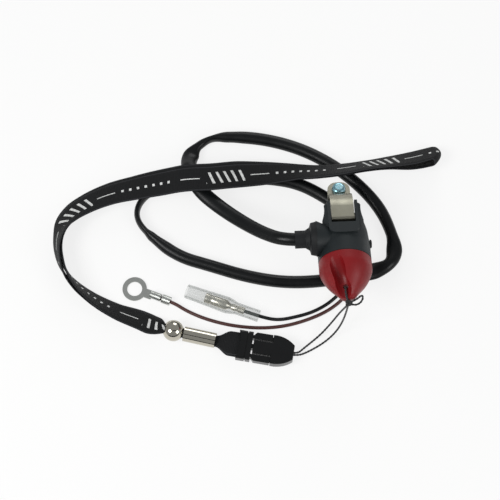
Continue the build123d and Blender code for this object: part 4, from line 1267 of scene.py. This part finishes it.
@dataclass
class Studio:
    """Pale floor, white backdrop, soft lights and the camera at the photograph's angle.

    The camera's place comes from the photograph, with seat_px as the pixel that shows the handlebar seat's
    centre. Lamps, cards and the floor are placed in metres.
    """

    azimuth: float = 2.5
    elevation: float = 72.0
    distance: float = 680.0
    focal_px: float = 1422.6
    frame_px: float = 500.0
    sensor: float = 36.0
    seat_px: tuple[float, float] = (341.0, 219.0)
    aim: Spot = (-0.04, -0.01, -0.015)
    floor_half: float = 3.0
    floor_gap: float = 0.0001
    # Share of the floor's own white in what the camera sees; the rest is paper, which takes the shadow
    floor_glow: float = 0.8
    world_strength: float = 0.42
    # Name, place, side and watts of each lamp
    lamps: Sequence[tuple[str, Spot, float, float]] = (
        ("key", (-0.46, -0.20, 0.50), 0.30, 2.6),
        ("front", (0.42, -0.34, 0.38), 0.34, 1.3),
        ("back", (0.10, 0.56, 0.24), 0.30, 0.8),
    )
    # Name, place, length across the picture and other side of each card
    cards: Sequence[tuple[str, Spot, float, float]] = (
        ("card_overhead", (0.0, -0.31, 0.95), 1.8, 0.16),
        ("card_low", (0.0, -0.75, 0.10), 1.8, 0.14),
    )

    def camera(self) -> None:
        """Camera that sees the handlebar seat's centre at its pixel, level with the picture's sides.

        It stands back from the seat along its line of sight, moved sideways by the pixel's offset from the
        middle over the focal length, times the distance.
        """
        az, el = math.radians(self.azimuth), math.radians(self.elevation)
        right = Vector((math.cos(az), -math.sin(az), 0.0))
        level = Vector((math.sin(az), math.cos(az), 0.0))
        ahead = level * math.cos(el) - Vector((0, 0, 1)) * math.sin(el)
        up = level * math.sin(el) + Vector((0, 0, 1)) * math.cos(el)
        half = self.frame_px / 2
        a = (self.seat_px[0] - half) / self.focal_px * self.distance
        b = (half - self.seat_px[1]) / self.focal_px * self.distance
        place = -(right * a + up * b + ahead * self.distance) * MM
        data = bpy.data.cameras.new("camera")
        data.sensor_width = self.sensor
        data.lens = self.focal_px / self.frame_px * self.sensor
        data.clip_start = 0.01
        camera = bpy.data.objects.new("camera", data)
        turn = Matrix((right, up, -ahead)).transposed()
        camera.matrix_world = Matrix.Translation(place) @ turn.to_4x4()
        bpy.context.scene.collection.objects.link(camera)
        bpy.context.scene.camera = camera

    def lamp(self, name: str, place: Spot, size: float, watts: float) -> None:
        """Square area lamp, turned to the aim.

        Args:
            name: The lamp's name.
            place: Its place, in metres.
            size: Its side, in metres.
            watts: Its power.
        """
        data = bpy.data.lights.new(name, "AREA")
        data.size = size
        data.energy = watts
        lamp = bpy.data.objects.new(name, data)
        lamp.location = place
        lamp.rotation_euler = (Vector(self.aim) - Vector(place)).to_track_quat("-Z", "Y").to_euler()
        bpy.context.scene.collection.objects.link(lamp)

    def sheet(self, name: str, corners: list[Spot], material: bpy.types.Material) -> None:
        """Flat piece of the stage.

        Args:
            name: Its name.
            corners: Its four corners in metres, in order.
            material: Its material.
        """
        mesh = bpy.data.meshes.new(name)
        mesh.from_pydata(corners, [], [(0, 1, 2, 3)])
        mesh.materials.append(material)
        piece = bpy.data.objects.new(name, mesh)
        bpy.context.scene.collection.objects.link(piece)
        piece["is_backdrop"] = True

    def card(self, name: str, place: Spot, long: float, high: float) -> None:
        """Dark card out of the picture, long across it, which polished metal mirrors as a dark band.

        Args:
            name: The card's name.
            place: Its middle, in metres. It faces the aim.
            long: Its length across the picture, in metres.
            high: Its other side, in metres.
        """
        ahead = (Vector(self.aim) - Vector(place)).normalized()
        across = Vector((1.0, 0.0, 0.0)) * (long / 2)
        up = ahead.cross(across).normalized() * (high / 2)
        ways = ((-1, -1), (1, -1), (1, 1), (-1, 1))
        corners = [tuple(Vector(place) + across * i + up * j) for i, j in ways]
        material, tree = fresh_material(name)
        felt = add(tree, "ShaderNodeBsdfDiffuse", {"Color": linear("141414")})
        add(tree, "ShaderNodeOutputMaterial", {"Surface": felt.outputs["BSDF"]})
        self.sheet(name, corners, material)

    def floor(self) -> None:
        """Flat floor that shows white to the camera, glossy and clear rays, and takes a soft shadow."""
        material, tree = fresh_material("white_floor")
        paper = add(tree, "ShaderNodeBsdfDiffuse", {"Color": linear("f4f4f2")}).outputs["BSDF"]
        glow = add(tree, "ShaderNodeEmission", {"Color": linear("ffffff"), "Strength": 1.0})
        path = add(tree, "ShaderNodeLightPath")
        seen = path.outputs["Is Camera Ray"]
        for ray in ("Is Glossy Ray", "Is Transmission Ray"):
            either = {0: seen, 1: path.outputs[ray]}
            seen = add(tree, "ShaderNodeMath", either, operation="MAXIMUM").outputs[0]
        share = add(tree, "ShaderNodeMath", {0: seen, 1: self.floor_glow}, operation="MULTIPLY").outputs[0]
        mix = add(tree, "ShaderNodeMixShader", {0: share, 1: paper, 2: glow.outputs["Emission"]})
        add(tree, "ShaderNodeOutputMaterial", {"Surface": mix.outputs["Shader"]})
        r, z = self.floor_half, FLOOR_Z * MM - self.floor_gap
        self.sheet("floor", [(-r, -r, z), (r, -r, z), (r, r, z), (-r, r, z)], material)

    def build(self) -> None:
        """Set the world, floor, lamps, cards and camera."""
        scene = bpy.context.scene
        scene.view_settings.view_transform = "Standard"
        world = bpy.data.worlds.new("studio")
        scene.world = world
        world.use_nodes = True
        tree = world.node_tree
        tree.nodes.clear()
        dim = {"Color": linear("f1f3f5"), "Strength": self.world_strength}
        soft = add(tree, "ShaderNodeBackground", dim)
        white = add(tree, "ShaderNodeBackground", {"Color": linear("ffffff"), "Strength": 1.0})
        seen = add(tree, "ShaderNodeLightPath").outputs["Is Camera Ray"]
        shown = {0: seen, 1: soft.outputs["Background"], 2: white.outputs["Background"]}
        mix = add(tree, "ShaderNodeMixShader", shown)
        add(tree, "ShaderNodeOutputWorld", {"Surface": mix.outputs["Shader"]})
        self.floor()
        for lamp in self.lamps:
            self.lamp(*lamp)
        for card in self.cards:
            self.card(*card)
        self.camera()


@dataclass
class SwitchBody:
    """Finishes of the CAD pieces that keep their own shapes."""

    finishes: Sequence[tuple[Finish, tuple[str, ...]]] = (
        (HOUSING_NYLON, ("housing",)),
        (LID_NYLON, ("face_plate", "side_plug")),
        (CARRIER_NYLON, ("contact_carrier",)),
        (PIN_BRASS, ("contact_pin_left", "contact_pin_right")),
        (MAGNET_NICKEL, ("contact_plate", "magnet")),
        (GROMMET_RUBBER, ("cable_grommet",)),
        (STRAP_STEEL, ("clamp_strap_upper", "clamp_strap_lower")),
        (SCREW_ZINC, ("clamp_screw", "clamp_nut")),
        (CAP_ABS, ("cap",)),
        (TERMINAL_TIN, ("ring_terminal",)),
        (BUCKLE_ACETAL, ("buckle_socket", "buckle_plug")),
        (POLISHED_NICKEL, ("crimp_tube", "slide_bead")),
    )

    def dress(self, frame: dict) -> None:
        """Give each kept CAD node its finish, one material for each finish.

        Args:
            frame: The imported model.
        """
        for finish, nodes in self.finishes:
            material = finish.build()
            for node in nodes:
                piece = frame["nodes"][node]
                if not piece.material_slots:
                    piece.data.materials.append(material)
                for slot in piece.material_slots:
                    slot.material = material
                log.info("dressed %s", node)


def box_list() -> list[list[float]]:
    """The object's box now, as plain numbers."""
    return [[float(v) for v in corner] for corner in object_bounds()]


def main(frame: dict, cad_box: list[list[float]]) -> None:
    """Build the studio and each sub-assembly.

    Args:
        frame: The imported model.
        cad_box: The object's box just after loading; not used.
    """
    Studio().build()
    for maker in (BulletConnector(), Tether(), ContactSpring(), Lanyard(), EndLoop()):
        for piece in maker.build():
            log.info("built %s", piece.name)
    for piece in Cable().build(frame):
        log.info("laid %s", piece.name)
    SwitchBody().dress(frame)


if __name__ == "__main__":
    logging.basicConfig(level=logging.INFO, format="%(name)s: %(message)s")
    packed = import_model()
    main(packed, box_list())
